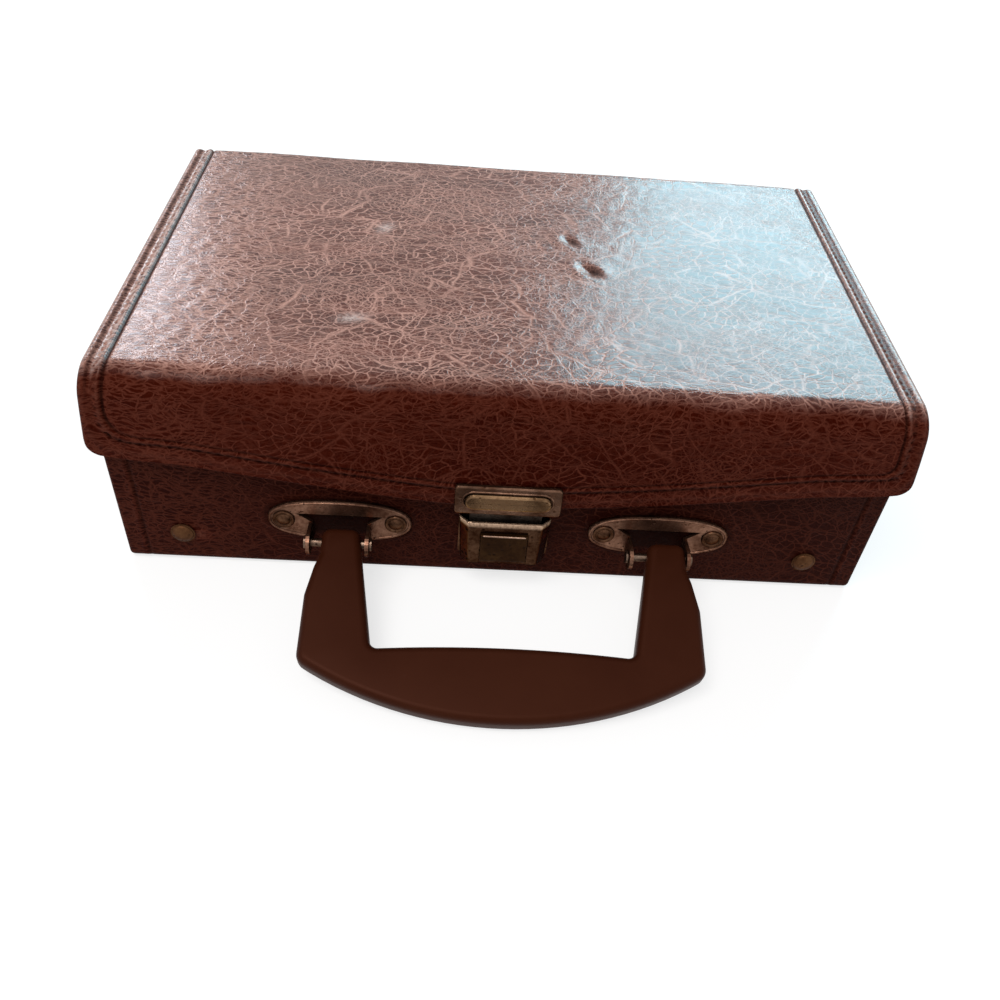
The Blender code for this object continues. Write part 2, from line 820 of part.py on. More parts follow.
def tapered(obj):
    """Narrow the lock's case towards its foot."""
    for vertex in obj.data.vertices:
        share = (LOCK_TOP - vertex.co.z) / LOCK_HEIGHT
        narrowing = 1 - share * LOCK_TAPER / (LOCK_WIDTH / 2)
        vertex.co.x = LATCH_X + (vertex.co.x - LATCH_X) * narrowing
    return obj


def make_lock(looks):
    """Back plate with prongs, pressed case, leaf catch and the backing plate in the wall."""
    half = LOCK_WIDTH / 2
    back = BASE_FRONT - GAP
    outline = rectangle(LATCH_X - half, LOCK_LOW, LATCH_X + half, LOCK_TOP, HASP_CORNER)
    plate = object_of("lock_back_plate", prism(outline, back - LOCK_PLATE, back, "Y"))
    tail = -WALL - GAP - BACKING - PRONG_TAIL
    joined(plate, *prongs(0, tail, GAP + LOCK_PLATE / 2))
    finish(plate, looks["steel"])

    case_back = BASE_FRONT - LEAF_STANDOFF
    face_y = BASE_FRONT - LOCK_STANDOFF
    outside = prism(lock_plan(0, LOCK_STANDOFF, case_back), LOCK_LOW, LOCK_TOP, "Z")
    corner_y = face_y + LOCK_CHAMFER + GAP
    round_edges(outside, LOCK_EDGE, lambda a, b: max(a.y, b.y) < corner_y)
    case = object_of("lock_case", outside)
    low = LOCK_LOW + LOCK_WALL
    behind = case_back + OVERRUN
    lower = lock_plan(LOCK_WALL, RECESS_INNER, behind)
    upper = lock_plan(LOCK_WALL, LOCK_INNER, behind)
    cut(case, prism(lower, low, RECESS_TOP + LOCK_WALL, "Z"))
    cut(case, prism(upper, RECESS_TOP + LOCK_WALL, LOCK_TOP + OVERRUN, "Z"))
    tapered(case)
    across = SLIDE_WIDTH / 2 + GAP
    recess = box(
        LATCH_X - across,
        face_y - OVERRUN,
        LOCK_LOW - OVERRUN,
        LATCH_X + across,
        BASE_FRONT - LOCK_INNER,
        RECESS_TOP,
    )
    cut(case, recess, stem_window())
    finish(case, looks["nickel"])

    finish(make_leaf(), looks["steel"])

    inner = BASE_FRONT + WALL + GAP
    outline = rectangle(LATCH_X - half, LOCK_LOW, LATCH_X + half, LOCK_TOP, HASP_CORNER)
    backing = object_of("lock_backing", prism(outline, inner, inner + BACKING, "Y"))
    cut(backing, *prongs(GAP, -WALL - OVERRUN, 0))
    finish(backing, looks["steel"])


def stem_window():
    """The window in the lock's face in which the button's stem slides."""
    across = STEM_WIDTH / 2 + GAP
    low = LOCK_LOW + STEM_RISE
    return box(
        LATCH_X - across,
        BASE_FRONT - LOCK_STANDOFF,
        low - SLIDE_TRAVEL - GAP,
        LATCH_X + across,
        BASE_FRONT - RECESS_INNER + GAP,
        low + STEM_HEIGHT + GAP,
    )


def make_leaf():
    """A leaf spring on the back plate, bowed forward, with a tooth beside the tongue's slot."""
    back = LEAF_STANDOFF
    foot = LOCK_LOW + LOCK_WALL + GAP
    tooth = LOCK_TOP - TONGUE_ENGAGEMENT + TONGUE_SLOT_RISE + GAP
    middle = (foot + LEAF_FOOT + tooth) / 2
    tip = TONGUE_STANDOFF - GAP
    front = back + LEAF_THICKNESS
    section = [
        (back, foot),
        (front, foot),
        (front, foot + LEAF_FOOT),
        (front + LEAF_BOW, middle),
        (front, tooth),
        (tip, tooth),
        (front, tooth + TOOTH_HEIGHT),
        (back, tooth + TOOTH_HEIGHT),
        (back, tooth),
        (back + LEAF_BOW, middle),
        (back, foot + LEAF_FOOT),
    ]
    outline = [(BASE_FRONT - standoff, z) for standoff, z in section]
    half = LEAF_WIDTH / 2
    return object_of("catch_leaf", prism(outline, LATCH_X - half, LATCH_X + half, "X"))


def make_slide(looks, pivot):
    """The release button on the lock's face, with its stem, its flange and a thumb lip."""
    half = SLIDE_WIDTH / 2
    low = LOCK_LOW + SLIDE_TRAVEL
    high = RECESS_TOP - GAP
    back = BASE_FRONT - LOCK_INNER - GAP
    face = back - SLIDE_THICKNESS
    shape = box(LATCH_X - half, face, low, LATCH_X + half, back, high)
    button = object_of("lock_slide", round_edges(shape, SLIDE_EDGE, both_at("Y", face)))
    lip = box(
        LATCH_X - half, face - LIP_DEPTH, high - LIP_THICKNESS, LATCH_X + half, face + GAP, high
    )
    joined(button, round_edges(lip, SLIDE_EDGE, both_at("Y", face - LIP_DEPTH)))

    stem_low = LOCK_LOW + STEM_RISE
    across = STEM_WIDTH / 2
    flange_front = BASE_FRONT - RECESS_INNER + GAP
    flange_back = flange_front + FLANGE_THICKNESS
    stem = box(
        LATCH_X - across,
        back - GAP,
        stem_low,
        LATCH_X + across,
        flange_back,
        stem_low + STEM_HEIGHT,
    )
    across = FLANGE_WIDTH / 2
    flange_low = stem_low - FLANGE_MARGIN
    flange = box(
        LATCH_X - across,
        flange_front,
        flange_low,
        LATCH_X + across,
        flange_back,
        stem_low + STEM_HEIGHT + FLANGE_MARGIN,
    )
    across = FLANGE_FOOT_WIDTH / 2
    foot = box(
        LATCH_X - across,
        flange_front,
        flange_low,
        LATCH_X + across,
        BASE_FRONT - spring_standoff() + SPRING_RADIUS,
        flange_low + FLANGE_FOOT_HEIGHT,
    )
    joined(button, stem, flange, foot)
    finish(button, looks["nickel"], pivot)


def spring_standoff():
    """Standoff of the return spring's axis, just inside the lock's face."""
    return RECESS_INNER - GAP - SPRING_RADIUS - SPRING_WIRE_RADIUS


def make_spring(looks):
    """A coil of round wire between the floor of the lock's case and the button's foot."""
    low = LOCK_LOW + LOCK_WALL + GAP + SPRING_WIRE_RADIUS
    high = LOCK_LOW + STEM_RISE - FLANGE_MARGIN - GAP - SPRING_WIRE_RADIUS
    curve = bpy.data.curves.new("slide_spring", "CURVE")
    curve.dimensions = "3D"
    curve.bevel_depth = SPRING_WIRE_RADIUS
    curve.bevel_resolution = 1
    curve.use_fill_caps = True
    line = curve.splines.new("POLY")
    per_turn = 10
    count = SPRING_TURNS * per_turn + 1
    line.points.add(count - 1)
    for i, point in enumerate(line.points):
        angle = 2 * math.pi * i / per_turn
        x = LATCH_X + SPRING_RADIUS * math.cos(angle)
        y = BASE_FRONT - spring_standoff() + SPRING_RADIUS * math.sin(angle)
        z = low + (high - low) * i / (count - 1)
        point.co = (x, y, z, 1)
    spring = bpy.data.objects.new("slide_spring", curve)
    bpy.context.scene.collection.objects.link(spring)
    curve.materials.append(looks["steel"])


def handle_outline():
    """Plan of the handle: necks at the pins, legs that widen, and a curved grip."""
    middle = LEG_SPACING / 2
    outer = middle + NECK_WIDTH / 2
    inner = middle - NECK_WIDTH / 2
    sag = HANDLE_REACH - HANDLE_SIDE_END
    radius = (HANDLE_HALF_WIDTH**2 + sag**2) / (2 * sag)
    right = [
        (inner, -NECK_END, NECK_CORNER),
        (outer, -NECK_END, NECK_CORNER),
        (outer, NECK_LENGTH, 0),
        (outer + LEG_BULGE, LEG_BULGE_AT, 0),
        (HANDLE_HALF_WIDTH, LEG_FULL_AT, 0),
        (HANDLE_HALF_WIDTH, HANDLE_SIDE_END, HANDLE_CORNER),
    ]
    grip = []
    for i in range(1, 2 * ARC_STEPS):
        x = HANDLE_HALF_WIDTH * (1 - i / ARC_STEPS)
        drop = radius - math.sqrt(radius**2 - x**2)
        grip.append((x, HANDLE_REACH - drop, 0))
    low_corner = (OPENING_LOW_HALF, OPENING_REACH + OPENING_SAG, OPENING_CORNER)
    opening = [
        (-OPENING_TOP_HALF, OPENING_TOP_AT, 0),
        (-low_corner[0], low_corner[1], low_corner[2]),
    ]
    for i in range(1, 2 * CORNER_STEPS):
        x = OPENING_LOW_HALF * (i / CORNER_STEPS - 1)
        share = abs(x) / OPENING_LOW_HALF
        opening.append((x, OPENING_REACH + OPENING_SAG * share**2, 0))
    opening += [low_corner, (OPENING_TOP_HALF, OPENING_TOP_AT, 0)]
    left = [(-x, reach, corner) for x, reach, corner in reversed(right)]
    corners = right + grip + left + opening
    return [(x + HANDLE_SHIFT, -reach) for x, reach in rounded(corners, CORNER_STEPS)]


def make_handle(looks, pivot):
    """A moulded handle, made flat about its pin axis and then let down on to its rest."""
    half = HANDLE_THICKNESS / 2
    shape = prism(handle_outline(), -half, half, "Z")
    round_edges(shape, HANDLE_EDGE, both_at("Z", half), BEVEL_STEPS + 1)
    round_edges(shape, HANDLE_EDGE, both_at("Z", -half), BEVEL_STEPS + 1)
    handle = object_of("handle", shape)
    reach = HANDLE_HALF_WIDTH + OVERRUN
    cut(handle, prism(circle(PIN_RADIUS + GAP), -reach, reach, "X"))
    finish(handle, looks["handle plastic"], smooth_degrees=40)
    handle.parent = pivot


def make_brackets(looks):
    """Stamped oval brackets with ears bent forward, their pins, rivets and backing strips."""
    backing_y = BASE_FRONT + WALL + GAP
    for side, hand in ((-1, "left"), (1, "right")):
        x = side * BRACKET_SPACING / 2
        bracket = make_bracket(f"bracket_{hand}", x)
        finish(bracket, looks["nickel"])
        make_pin(f"handle_pin_{hand}", x, looks)
        for place, where in ((-1, "outer"), (1, "inner")):
            rivet_x = x + side * -place * RIVET_SPACING / 2
            rivet = object_of(
                f"rivet_{hand}_{where}",
                riveted(
                    rivet_x,
                    BRACKET_MIDDLE,
                    RIVET_HEAD_RADIUS,
                    RIVET_HEAD,
                    RIVET_SHANK_RADIUS,
                    BRACKET_THICKNESS + 2 * GAP,
                    -WALL - 2 * GAP - BACKING,
                ),
            )
            finish(rivet, looks["nickel"], smooth_degrees=40)
        outline = rectangle(
            x - BACKING_LENGTH / 2,
            BRACKET_MIDDLE - BACKING_HEIGHT / 2,
            x + BACKING_LENGTH / 2,
            BRACKET_MIDDLE + BACKING_HEIGHT / 2,
            HASP_CORNER,
        )
        strip = object_of(
            f"bracket_backing_{hand}", prism(outline, backing_y, backing_y + BACKING, "Y")
        )
        for place in (-1, 1):
            rivet_x = x + place * RIVET_SPACING / 2
            cut(strip, rod(RIVET_SHANK_RADIUS + GAP, rivet_x, BRACKET_MIDDLE, -WALL - OVERRUN, 0))
        finish(strip, looks["steel"])


def riveted(x, z, head_radius, head, shank_radius, seat, tail_standoff):
    """A rivet: a domed head on its seat, a shank through the wall and a spread tail."""
    steps = CORNER_STEPS
    profile = [
        (head_radius * math.sin(math.pi / 2 * i / steps), head * math.cos(math.pi / 2 * i / steps))
        for i in range(steps + 1)
    ]
    profile = [(radius, seat + rise) for radius, rise in profile]
    profile[0] = (0, seat + head)
    profile += [
        (shank_radius, seat),
        (shank_radius, tail_standoff),
        (RIVET_TAIL_RADIUS, tail_standoff),
        (RIVET_TAIL_RADIUS, tail_standoff - RIVET_TAIL),
        (0, tail_standoff - RIVET_TAIL),
    ]
    return turned(profile, x, z)


def oval(x):
    """The bracket's outline, between an ellipse and a rectangle."""
    outline = []
    power = 2 / BRACKET_OVAL_POWER
    for i in range(OVAL_SIDES):
        angle = 2 * math.pi * (i + 0.5) / OVAL_SIDES
        across, up = math.cos(angle), math.sin(angle)
        outline.append(
            (
                x + BRACKET_WIDTH / 2 * math.copysign(abs(across) ** power, across),
                BRACKET_MIDDLE + BRACKET_HEIGHT / 2 * math.copysign(abs(up) ** power, up),
            )
        )
    return outline


def make_bracket(name, x):
    face = BASE_FRONT - GAP - BRACKET_THICKNESS
    shape = prism(oval(x), face, BASE_FRONT - GAP, "Y")
    bracket = object_of(name, round_edges(shape, BRACKET_EDGE, both_at("Y", face)))
    half_gap = EAR_GAP / 2
    window_top = BRACKET_MIDDLE + BRACKET_HEIGHT / 2 - BRACKET_BAND
    ear_top = PIN_HEIGHT + EAR_RISE
    below = BRACKET_MIDDLE - BRACKET_HEIGHT
    window = [
        (x - half_gap, below),
        (x + half_gap, below),
        (x + half_gap, ear_top),
        (x + WINDOW_HALF, window_top),
        (x - WINDOW_HALF, window_top),
        (x - half_gap, ear_top),
    ]
    cut(bracket, prism(window, face - OVERRUN, BASE_FRONT + OVERRUN, "Y"))
    back = BASE_FRONT - GAP
    pin_y = BASE_FRONT - PIN_STANDOFF
    for side in (-1, 1):
        ear = [(back, PIN_HEIGHT - EAR_RADIUS), (back, ear_top)]
        for i in range(2 * ARC_STEPS + 1):
            angle = math.pi / 2 + math.pi * i / (2 * ARC_STEPS)
            ear.append(
                (pin_y + EAR_RADIUS * math.cos(angle), PIN_HEIGHT + EAR_RADIUS * math.sin(angle))
            )
        low, high = sorted((x + side * half_gap, x + side * (half_gap + EAR_THICKNESS)))
        joined(bracket, prism(ear, low, high, "X"))
    reach = half_gap + EAR_THICKNESS + GAP
    hole = circle(PIN_RADIUS + PIN_CLEARANCE, (pin_y, PIN_HEIGHT))
    cut(bracket, prism(hole, x - reach, x + reach, "X"))
    for place in (-1, 1):
        rivet_x = x + place * RIVET_SPACING / 2
        cut(bracket, rod(RIVET_SHANK_RADIUS + GAP, rivet_x, BRACKET_MIDDLE, 0, OVERRUN))
    return bracket


def make_pin(name, x, looks):
    """A pin through both ears, headed outside them."""
    centre = (BASE_FRONT - PIN_STANDOFF, PIN_HEIGHT)
    end = EAR_GAP / 2 + EAR_THICKNESS + GAP
    pin = object_of(name, prism(circle(PIN_RADIUS, centre), x - end, x + end, "X"))
    for side in (-1, 1):
        low, high = sorted((x + side * end, x + side * (end + PIN_HEAD)))
        joined(pin, prism(circle(PIN_HEAD_RADIUS, centre), low, high, "X"))
    finish(pin, looks["steel"], smooth_degrees=40)


def make_studs(looks):
    for side, hand in ((-1, "left"), (1, "right")):
        x = side * STUD_SPACING / 2
        seat = GAP
        tail = -WALL - GAP
        stud = object_of(
            f"stud_{hand}",
            riveted(x, STUD_HEIGHT, STUD_RADIUS, STUD_DOME, STUD_SHANK_RADIUS, seat, tail),
        )
        finish(stud, looks["brass"], smooth_degrees=40)


def build_case():
    clear_scene()
    looks = make_looks()
    lid_pivot = pivot_at("lid_pivot", (0, BASE_BACK, RIM_HEIGHT))
    handle_pivot = pivot_at("handle_pivot", (0, BASE_FRONT - PIN_STANDOFF, PIN_HEIGHT))
    handle_pivot.rotation_euler.x = math.radians(HANDLE_DROOP_DEGREES)
    slide_pivot = pivot_at("slide_pivot", (LATCH_X, BASE_FRONT - LOCK_STANDOFF, LOCK_LOW))
    make_base(looks)
    make_liner(looks)
    make_trays(looks)
    make_lid(looks, lid_pivot)
    make_hasp(looks, lid_pivot)
    make_lock(looks)
    make_slide(looks, slide_pivot)
    make_spring(looks)
    make_brackets(looks)
    make_handle(looks, handle_pivot)
    make_studs(looks)


build_case()
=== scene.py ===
"""Looks of the cassette case: stitched leatherette, patinated latch, moulded handle.

Lengths are in metres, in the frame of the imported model. A standoff is a distance in
front of the base's front face, and an inset a distance in from the outside. Scales of
textures are in cells or waves to the metre.
"""
from math import atan2, copysign, cos, exp, pi, radians, sin, sqrt, tan

import bmesh
import bpy
import numpy as np
from mathutils import Matrix, Quaternion, Vector


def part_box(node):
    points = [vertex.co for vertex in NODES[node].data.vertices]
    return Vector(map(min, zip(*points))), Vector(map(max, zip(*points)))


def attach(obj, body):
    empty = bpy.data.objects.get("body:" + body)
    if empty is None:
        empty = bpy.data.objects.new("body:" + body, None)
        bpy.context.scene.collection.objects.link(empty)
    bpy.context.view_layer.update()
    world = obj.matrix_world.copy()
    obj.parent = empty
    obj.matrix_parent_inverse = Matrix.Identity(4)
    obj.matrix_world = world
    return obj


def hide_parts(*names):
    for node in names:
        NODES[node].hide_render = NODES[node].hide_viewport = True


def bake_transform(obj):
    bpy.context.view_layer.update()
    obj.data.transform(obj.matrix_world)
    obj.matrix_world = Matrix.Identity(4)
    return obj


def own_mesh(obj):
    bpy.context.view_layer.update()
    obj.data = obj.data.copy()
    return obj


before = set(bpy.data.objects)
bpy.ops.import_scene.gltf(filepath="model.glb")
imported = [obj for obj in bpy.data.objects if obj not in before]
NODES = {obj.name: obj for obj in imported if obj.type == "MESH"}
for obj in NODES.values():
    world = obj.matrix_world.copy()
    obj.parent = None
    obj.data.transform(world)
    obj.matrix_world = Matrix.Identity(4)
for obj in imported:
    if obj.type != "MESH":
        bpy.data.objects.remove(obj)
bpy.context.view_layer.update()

TURN = 2 * pi
HANDS = ((-1, "left"), (1, "right"))

# Camera, which looks down on the front
IMAGE_SIDE = 1000
FOCAL_PIXELS = 951.7
SENSOR = 36.0
CAMERA_AT = (-0.0165, -0.3035, 0.2491)
CAMERA_FORWARD = (0.05, 0.7268, -0.685)
CAMERA_RIGHT = (0.9975, -0.0025, 0.0701)
CLIP = (0.01, 50)

# Lamps: name, place, aim, size, watts, colour and lean in degrees
LAMPS = (
    ("window", (0.605, 1.20, 0.83), (0.06, 0.0, 0.08), (0.75, 0.66), 19.0,
     (0.44, 0.85, 1.0), 0),
    ("side window", (-0.675, 1.20, 0.87), (-0.10, 0.0, 0.08), (0.18, 0.50), 5.0,
     (0.82, 0.90, 1.0), -31),
    ("room", (-0.55, -0.78, 1.75), (0, 0, 0.03), (1.2, 1.0), 26.0, (1.0, 0.97, 0.94), 0),
)
SKY_COLOUR = (0.94, 0.96, 1.0, 1)
SKY_STRENGTH = 0.36
FLOOR_HALF = 12.0
FLOOR_DROP = 0.0002
FLOOR_COLOUR = (0.78, 0.77, 0.76, 1)
# The floor as seen: what it gives back, and what it glows with near by and far off
SEEN_COLOUR = (0.34, 0.34, 0.34, 1)
SEEN_REACH = (0.8, 3.0)
SEEN_GLOW = (0.72, 1.0)

# Outside of the case
BASE_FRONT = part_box("base_cover")[0].y
BASE_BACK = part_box("base_cover")[1].y
BASE_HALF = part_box("base_end_right")[1].x
BASE_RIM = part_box("base_cover")[1].z
CASE_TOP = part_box("lid_cover")[1].z
LID_HALF = 0.1270
LID_FLARE = 0.0017
RIM = 0.0543
LID_RIM = 0.05445
FLAP_LOW = 0.0380
FLAP_RISE = 0.01645
FLAP_HALF = 0.1287
FLAP_POWER = 1.35
FLAP_CORNER = 0.0048
FLAP_DROOP = 0.0019
DROOP_REACH = (0.095, 0.123)
TOP_STANDOFF = 0.00265
FLAP_STANDOFF = 0.0067
FRONT_ROUND = 0.0085
BACK_ROUND = 0.0045
BASE_ROUND = 0.0030
END_ROUND = 0.0014
SKIN = 0.0008
TURNED_IN = SKIN * 1.2
FRONT_ROWS = 120
HINGE_LOW = 0.0519
HINGE_HIGH = 0.0567
HINGE_LAP = 0.0004
SET_BACK = 0.00004
HINGE_SKIN = 0.0006

# Edge bands, by distance from the edge
SEAM_AT = 0.0073
BEAD_AT = 0.00605
ROLL_AT = 0.0016
# Place, width and rise of the seam's groove, a stitched bead, a channel and the rolled edge
BANDS = (
    (SEAM_AT, 0.00042, -0.00055), (BEAD_AT, 0.00085, 0.00042), (0.00385, 0.0010, -0.00028),
    (ROLL_AT, 0.0010, 0.00020),
)
STITCH_AT = 0.0050
STITCH_WIDTH = 0.00048
STITCH_PITCH = 0.0029
STITCH_DEPTH = 0.00050
THREAD_RISE = 0.00018
TRENCH_DEPTH = 0.00065
HEM_SHIFT = 0.0013
CORNER_SOFT = (0.0095, 0.0045)

# Loose skin of the lid
CROWN = 0.00038
CROWN_REACH = 0.0050
SWELL = 0.00010
RIPPLE = 0.00003
SHEEN_START = 0.0065
SHEEN_FULL = 0.0145
SHEEN_BACK = (0.0250, 0.0190)
BACK_LEFT_DARKENING = 0.12
# Pressed marks: place, angle, length, width and depth; shallow ones are scuffs
SCUFF_LIMIT = 0.0005
MARKS = (
    ((0.0216, 0.0154), -1.1, 0.0034, 0.0019, 0.0011),
    ((0.0277, -0.0049), -0.95, 0.0044, 0.0026, 0.0014),
    ((-0.0456, 0.0177), 1.2, 0.0042, 0.0026, 0.0003),
    ((-0.0513, -0.0430), 0.3, 0.0046, 0.0026, 0.00025),
)

# Latch
LATCH_X = 0.0012
BAR_MIDDLE = 0.04255
POCKET_LENGTH = 0.0281
POCKET_HEIGHT = 0.0066
HASP_FACE = 0.0084
LIP_RADIUS = 0.00042
LIP_SUNK = 0.0001
SPRING_WIRE = 0.00018
SPRING_TURNS = 4
SPRING_STEPS = 28
SPRING_SIDES = 10
SLIDE_X = 0.0012
SLIDE_TOP = 0.0267
SLIDE_LIP_HALF = 0.0074
SLIDE_LIP_FACE = 0.0079
SLIDE_LIP = 0.00035

# Brackets
BRACKET_X = 0.0534
BRACKET_Z = 0.0236
BRACKET_HALF = (0.02375, 0.0087)
BRACKET_POWER = 2.4
BRACKET_FACE = 0.0015
BRACKET_MARGIN = 0.0007
RIM_INSET = 0.00072
RIM_RADIUS = 0.00050
RIM_SUNK = 0.00012
EAR_OUTSIDE = 0.0104
RIVET_SPACING = 0.0370
RIVET_RADIUS = 0.0037
RIVET_RISE = 0.0012
# Flat rivet head with a rolled rim, a ring pressed in and a low boss: shares of radius and rise
RIVET_SHARES = (
    (1.0, 0.0), (1.0, 0.30), (0.96, 0.48), (0.89, 0.58), (0.80, 0.60), (0.74, 0.50),
    (0.69, 0.28), (0.64, 0.26), (0.59, 0.42), (0.52, 0.62), (0.42, 0.78), (0.30, 0.90),
    (0.16, 0.98), (0.003, 1.0),
)

# Studs
STUD_X = 0.1066
STUD_Z = 0.0135
STUD_RADIUS = 0.00405
STUD_DOME = 0.0018
STUD_SEAT = 0.0003
STUD_FLANGE = 0.0004

# Handle
PIN_AT = (0.0, -0.08485, 0.0197)
HANDLE_DROOP = radians(15.7)
HANDLE_SHIFT = 0.0017
HANDLE_HALF = 0.0637
HANDLE_REACH = 0.0598
HANDLE_SIDE_END = 0.0420
HANDLE_CORNER = 0.0042
HANDLE_THICKNESS = 0.0080
HANDLE_EDGE = 0.0026
LEG_MIDDLE = 0.0543
NECK_HALF = 0.0061
NECK_END = 0.0042
NECK_LENGTH = 0.0055
NECK_CORNER = 0.0032
LEG_BULGE = 0.0014
LEG_BULGE_AT = 0.0100
LEG_FULL_AT = 0.0200
# Half width, reach and radius of the opening's corners by the necks
OPENING_TOP = (0.0462, 0.0083, 0.0030)
OPENING_HALF = 0.0412
OPENING_REACH = 0.0353
OPENING_SAG = 0.0018
OPENING_CORNER = 0.0024

# Pad
PAD_DRAWN = 0.0012
PAD_EDGE = 0.0045
PAD_ROOM = 0.0002
PAD_DIMPLE = 0.00008

# Leatherette: darker tone, paler tone and crackle, on upright faces and on the top; the top's
# tones are faded and also painted paler as sheen, and its pale crackle lines are partly painted
# highlights
UPRIGHT = ((0.0190, 0.0010, 0.0002), (0.0400, 0.0040, 0.0012), (0.0980, 0.0240, 0.0140))
FADED_AND_SHEEN = ((0.0460, 0.0062, 0.0024), (0.1040, 0.0220, 0.0115), (0.5000, 0.2550, 0.1950))
# Pale rubbed tones, also used for painted highlights on pressed marks; near-black soil, also used
# for painted shade
RUBBED_AND_LIT = ((0.125, 0.042, 0.028), (0.520, 0.390, 0.350))
SOIL_AND_SHADE = (0.0065, 0.0016, 0.0010)
HIGHLIGHT_METAL = (0.520, 0.350, 0.240)

# Metals: name, bright, dull, stain, metallic, roughness, scale of the pits, and the heights
# between which an edge gets a painted highlight
METALS = {
    "nickel": ("patinated nickel", (0.240, 0.128, 0.085), (0.090, 0.038, 0.023),
               (0.018, 0.0055, 0.0030), 0.95, 0.40, 800),
    "plate": ("worn latch plate", (0.245, 0.138, 0.092), (0.092, 0.042, 0.024),
              (0.020, 0.007, 0.0035), 0.95, 0.38, 420),
    "brass": ("dulled brass", (0.360, 0.220, 0.118), (0.180, 0.100, 0.052),
              (0.045, 0.020, 0.009), 0.95, 0.36, 600),
    "lock": ("dark lock case", (0.075, 0.038, 0.022), (0.024, 0.0085, 0.0042),
             (0.009, 0.0026, 0.0014), 0.95, 0.34, 420, (0.0288, 0.0304)),
    # Pale metal for the bead on the slide's top lip, painting its highlight
    "bright": ("painted highlight lip", (0.520, 0.350, 0.260), (0.280, 0.170, 0.120),
               (0.060, 0.028, 0.017), 0.95, 0.40, 900),
    "rivet": ("mottled rivet", (0.120, 0.060, 0.034), (0.036, 0.0135, 0.0070),
              (0.010, 0.0030, 0.0015), 0.95, 0.42, 900),
    "slide": ("olive slide", (0.043, 0.0200, 0.0075), (0.023, 0.0088, 0.0030),
              (0.010, 0.0035, 0.0015), 0.6, 0.42, 420),
    "steel": ("dull steel", (0.230, 0.160, 0.118), (0.090, 0.052, 0.036),
              (0.025, 0.011, 0.007), 0.95, 0.34, 420),
    "tongue": ("speckled steel", (0.150, 0.120, 0.100), (0.030, 0.018, 0.013),
               (0.008, 0.004, 0.003), 0.9, 0.5, 900),
    "stud": ("brown brass", (0.125, 0.058, 0.026), (0.062, 0.0235, 0.0100),
             (0.022, 0.0075, 0.0035), 0.5, 0.42, 500),
}
# Plastics: name, two tones, roughness, specular level and strength of the scratches
PLASTICS = {
    "handle": ("handle plastic", (0.0270, 0.0058, 0.0022), (0.0330, 0.0080, 0.0033), 0.46,
               0.14, 0.18),
    "tray": ("tray plastic", (0.020, 0.013, 0.011), (0.030, 0.020, 0.017), 0.45, 0.5, 0.4),
}
# Boards and cloths: name, two tones, roughness, scale of the fibres and nap
FIBRES = {
    "board": ("lining paper", (0.085, 0.042, 0.026), (0.15, 0.085, 0.055), 0.85, 900, 0.0),
    "lining": ("flock lining", (0.030, 0.012, 0.009), (0.060, 0.025, 0.018), 0.92, 1400, 0.25),
    "pad": ("pad cloth", (0.040, 0.017, 0.012), (0.075, 0.034, 0.025), 0.9, 1100, 0.3),
}
# Better looks for the CAD pieces that stay
STAYING = {
    "board": ("base_board", "lid_board"), "lining": ("base_liner",),
    "tray": ("tray_left", "tray_right"), "nickel": ("bracket_left", "bracket_right"),
    "plate": ("hasp_plate",), "brass": ("hasp_bar",), "tongue": ("hasp_tongue",),
    # The lock's back plate takes the darker rivet metal, painting shade where it shows beside the
    # case
    "lock": ("lock_case",), "rivet": ("lock_back_plate",), "slide": ("lock_slide",),
    "steel": ("catch_leaf", "lock_backing", "bracket_backing_left", "bracket_backing_right",
              "handle_pin_left", "handle_pin_right"),
}


# Node graphs
class Graph:
    """A node tree, with short calls for its nodes."""

    def __init__(self, tree):
        self.tree = tree

    def feed(self, socket, value):
        if isinstance(value, bpy.types.NodeSocket):
            self.tree.links.new(value, socket)
        else:
            socket.default_value = value

    def node(self, kind, output, inputs, **settings):
        """One output of a new node, with its settings made and its inputs fed."""
        node = self.tree.nodes.new("ShaderNode" + kind)
        for name, value in settings.items():
            setattr(node, name, value)
        for name, value in inputs.items():
            self.feed(node.inputs[name], value)
        return node.outputs[output]

    def sum(self, operation, first, second, third=0.0):
        inputs = {0: first, 1: second, 2: third}
        return self.node("Math", 0, inputs, operation=operation)

    def times(self, first, second):
        return self.sum("MULTIPLY", first, second)

    def remap(self, value, low, high, to_low=0.0, to_high=1.0, smooth=False):
        return self.node("MapRange", 0, {
            "Value": value, "From Min": low, "From Max": high,
            "To Min": to_low, "To Max": to_high,
        }, interpolation_type="SMOOTHSTEP" if smooth else "LINEAR")

    def seen(self, plain, shown):
        """A plain shader, and another for camera, glossy and transmission rays."""
        path = self.tree.nodes.new("ShaderNodeLightPath").outputs
        share = self.sum("MAXIMUM", path["Is Camera Ray"], path["Is Glossy Ray"])
        share = self.sum("MAXIMUM", share, path["Is Transmission Ray"])
        return self.node("MixShader", 0, {0: share, 1: plain, 2: shown})


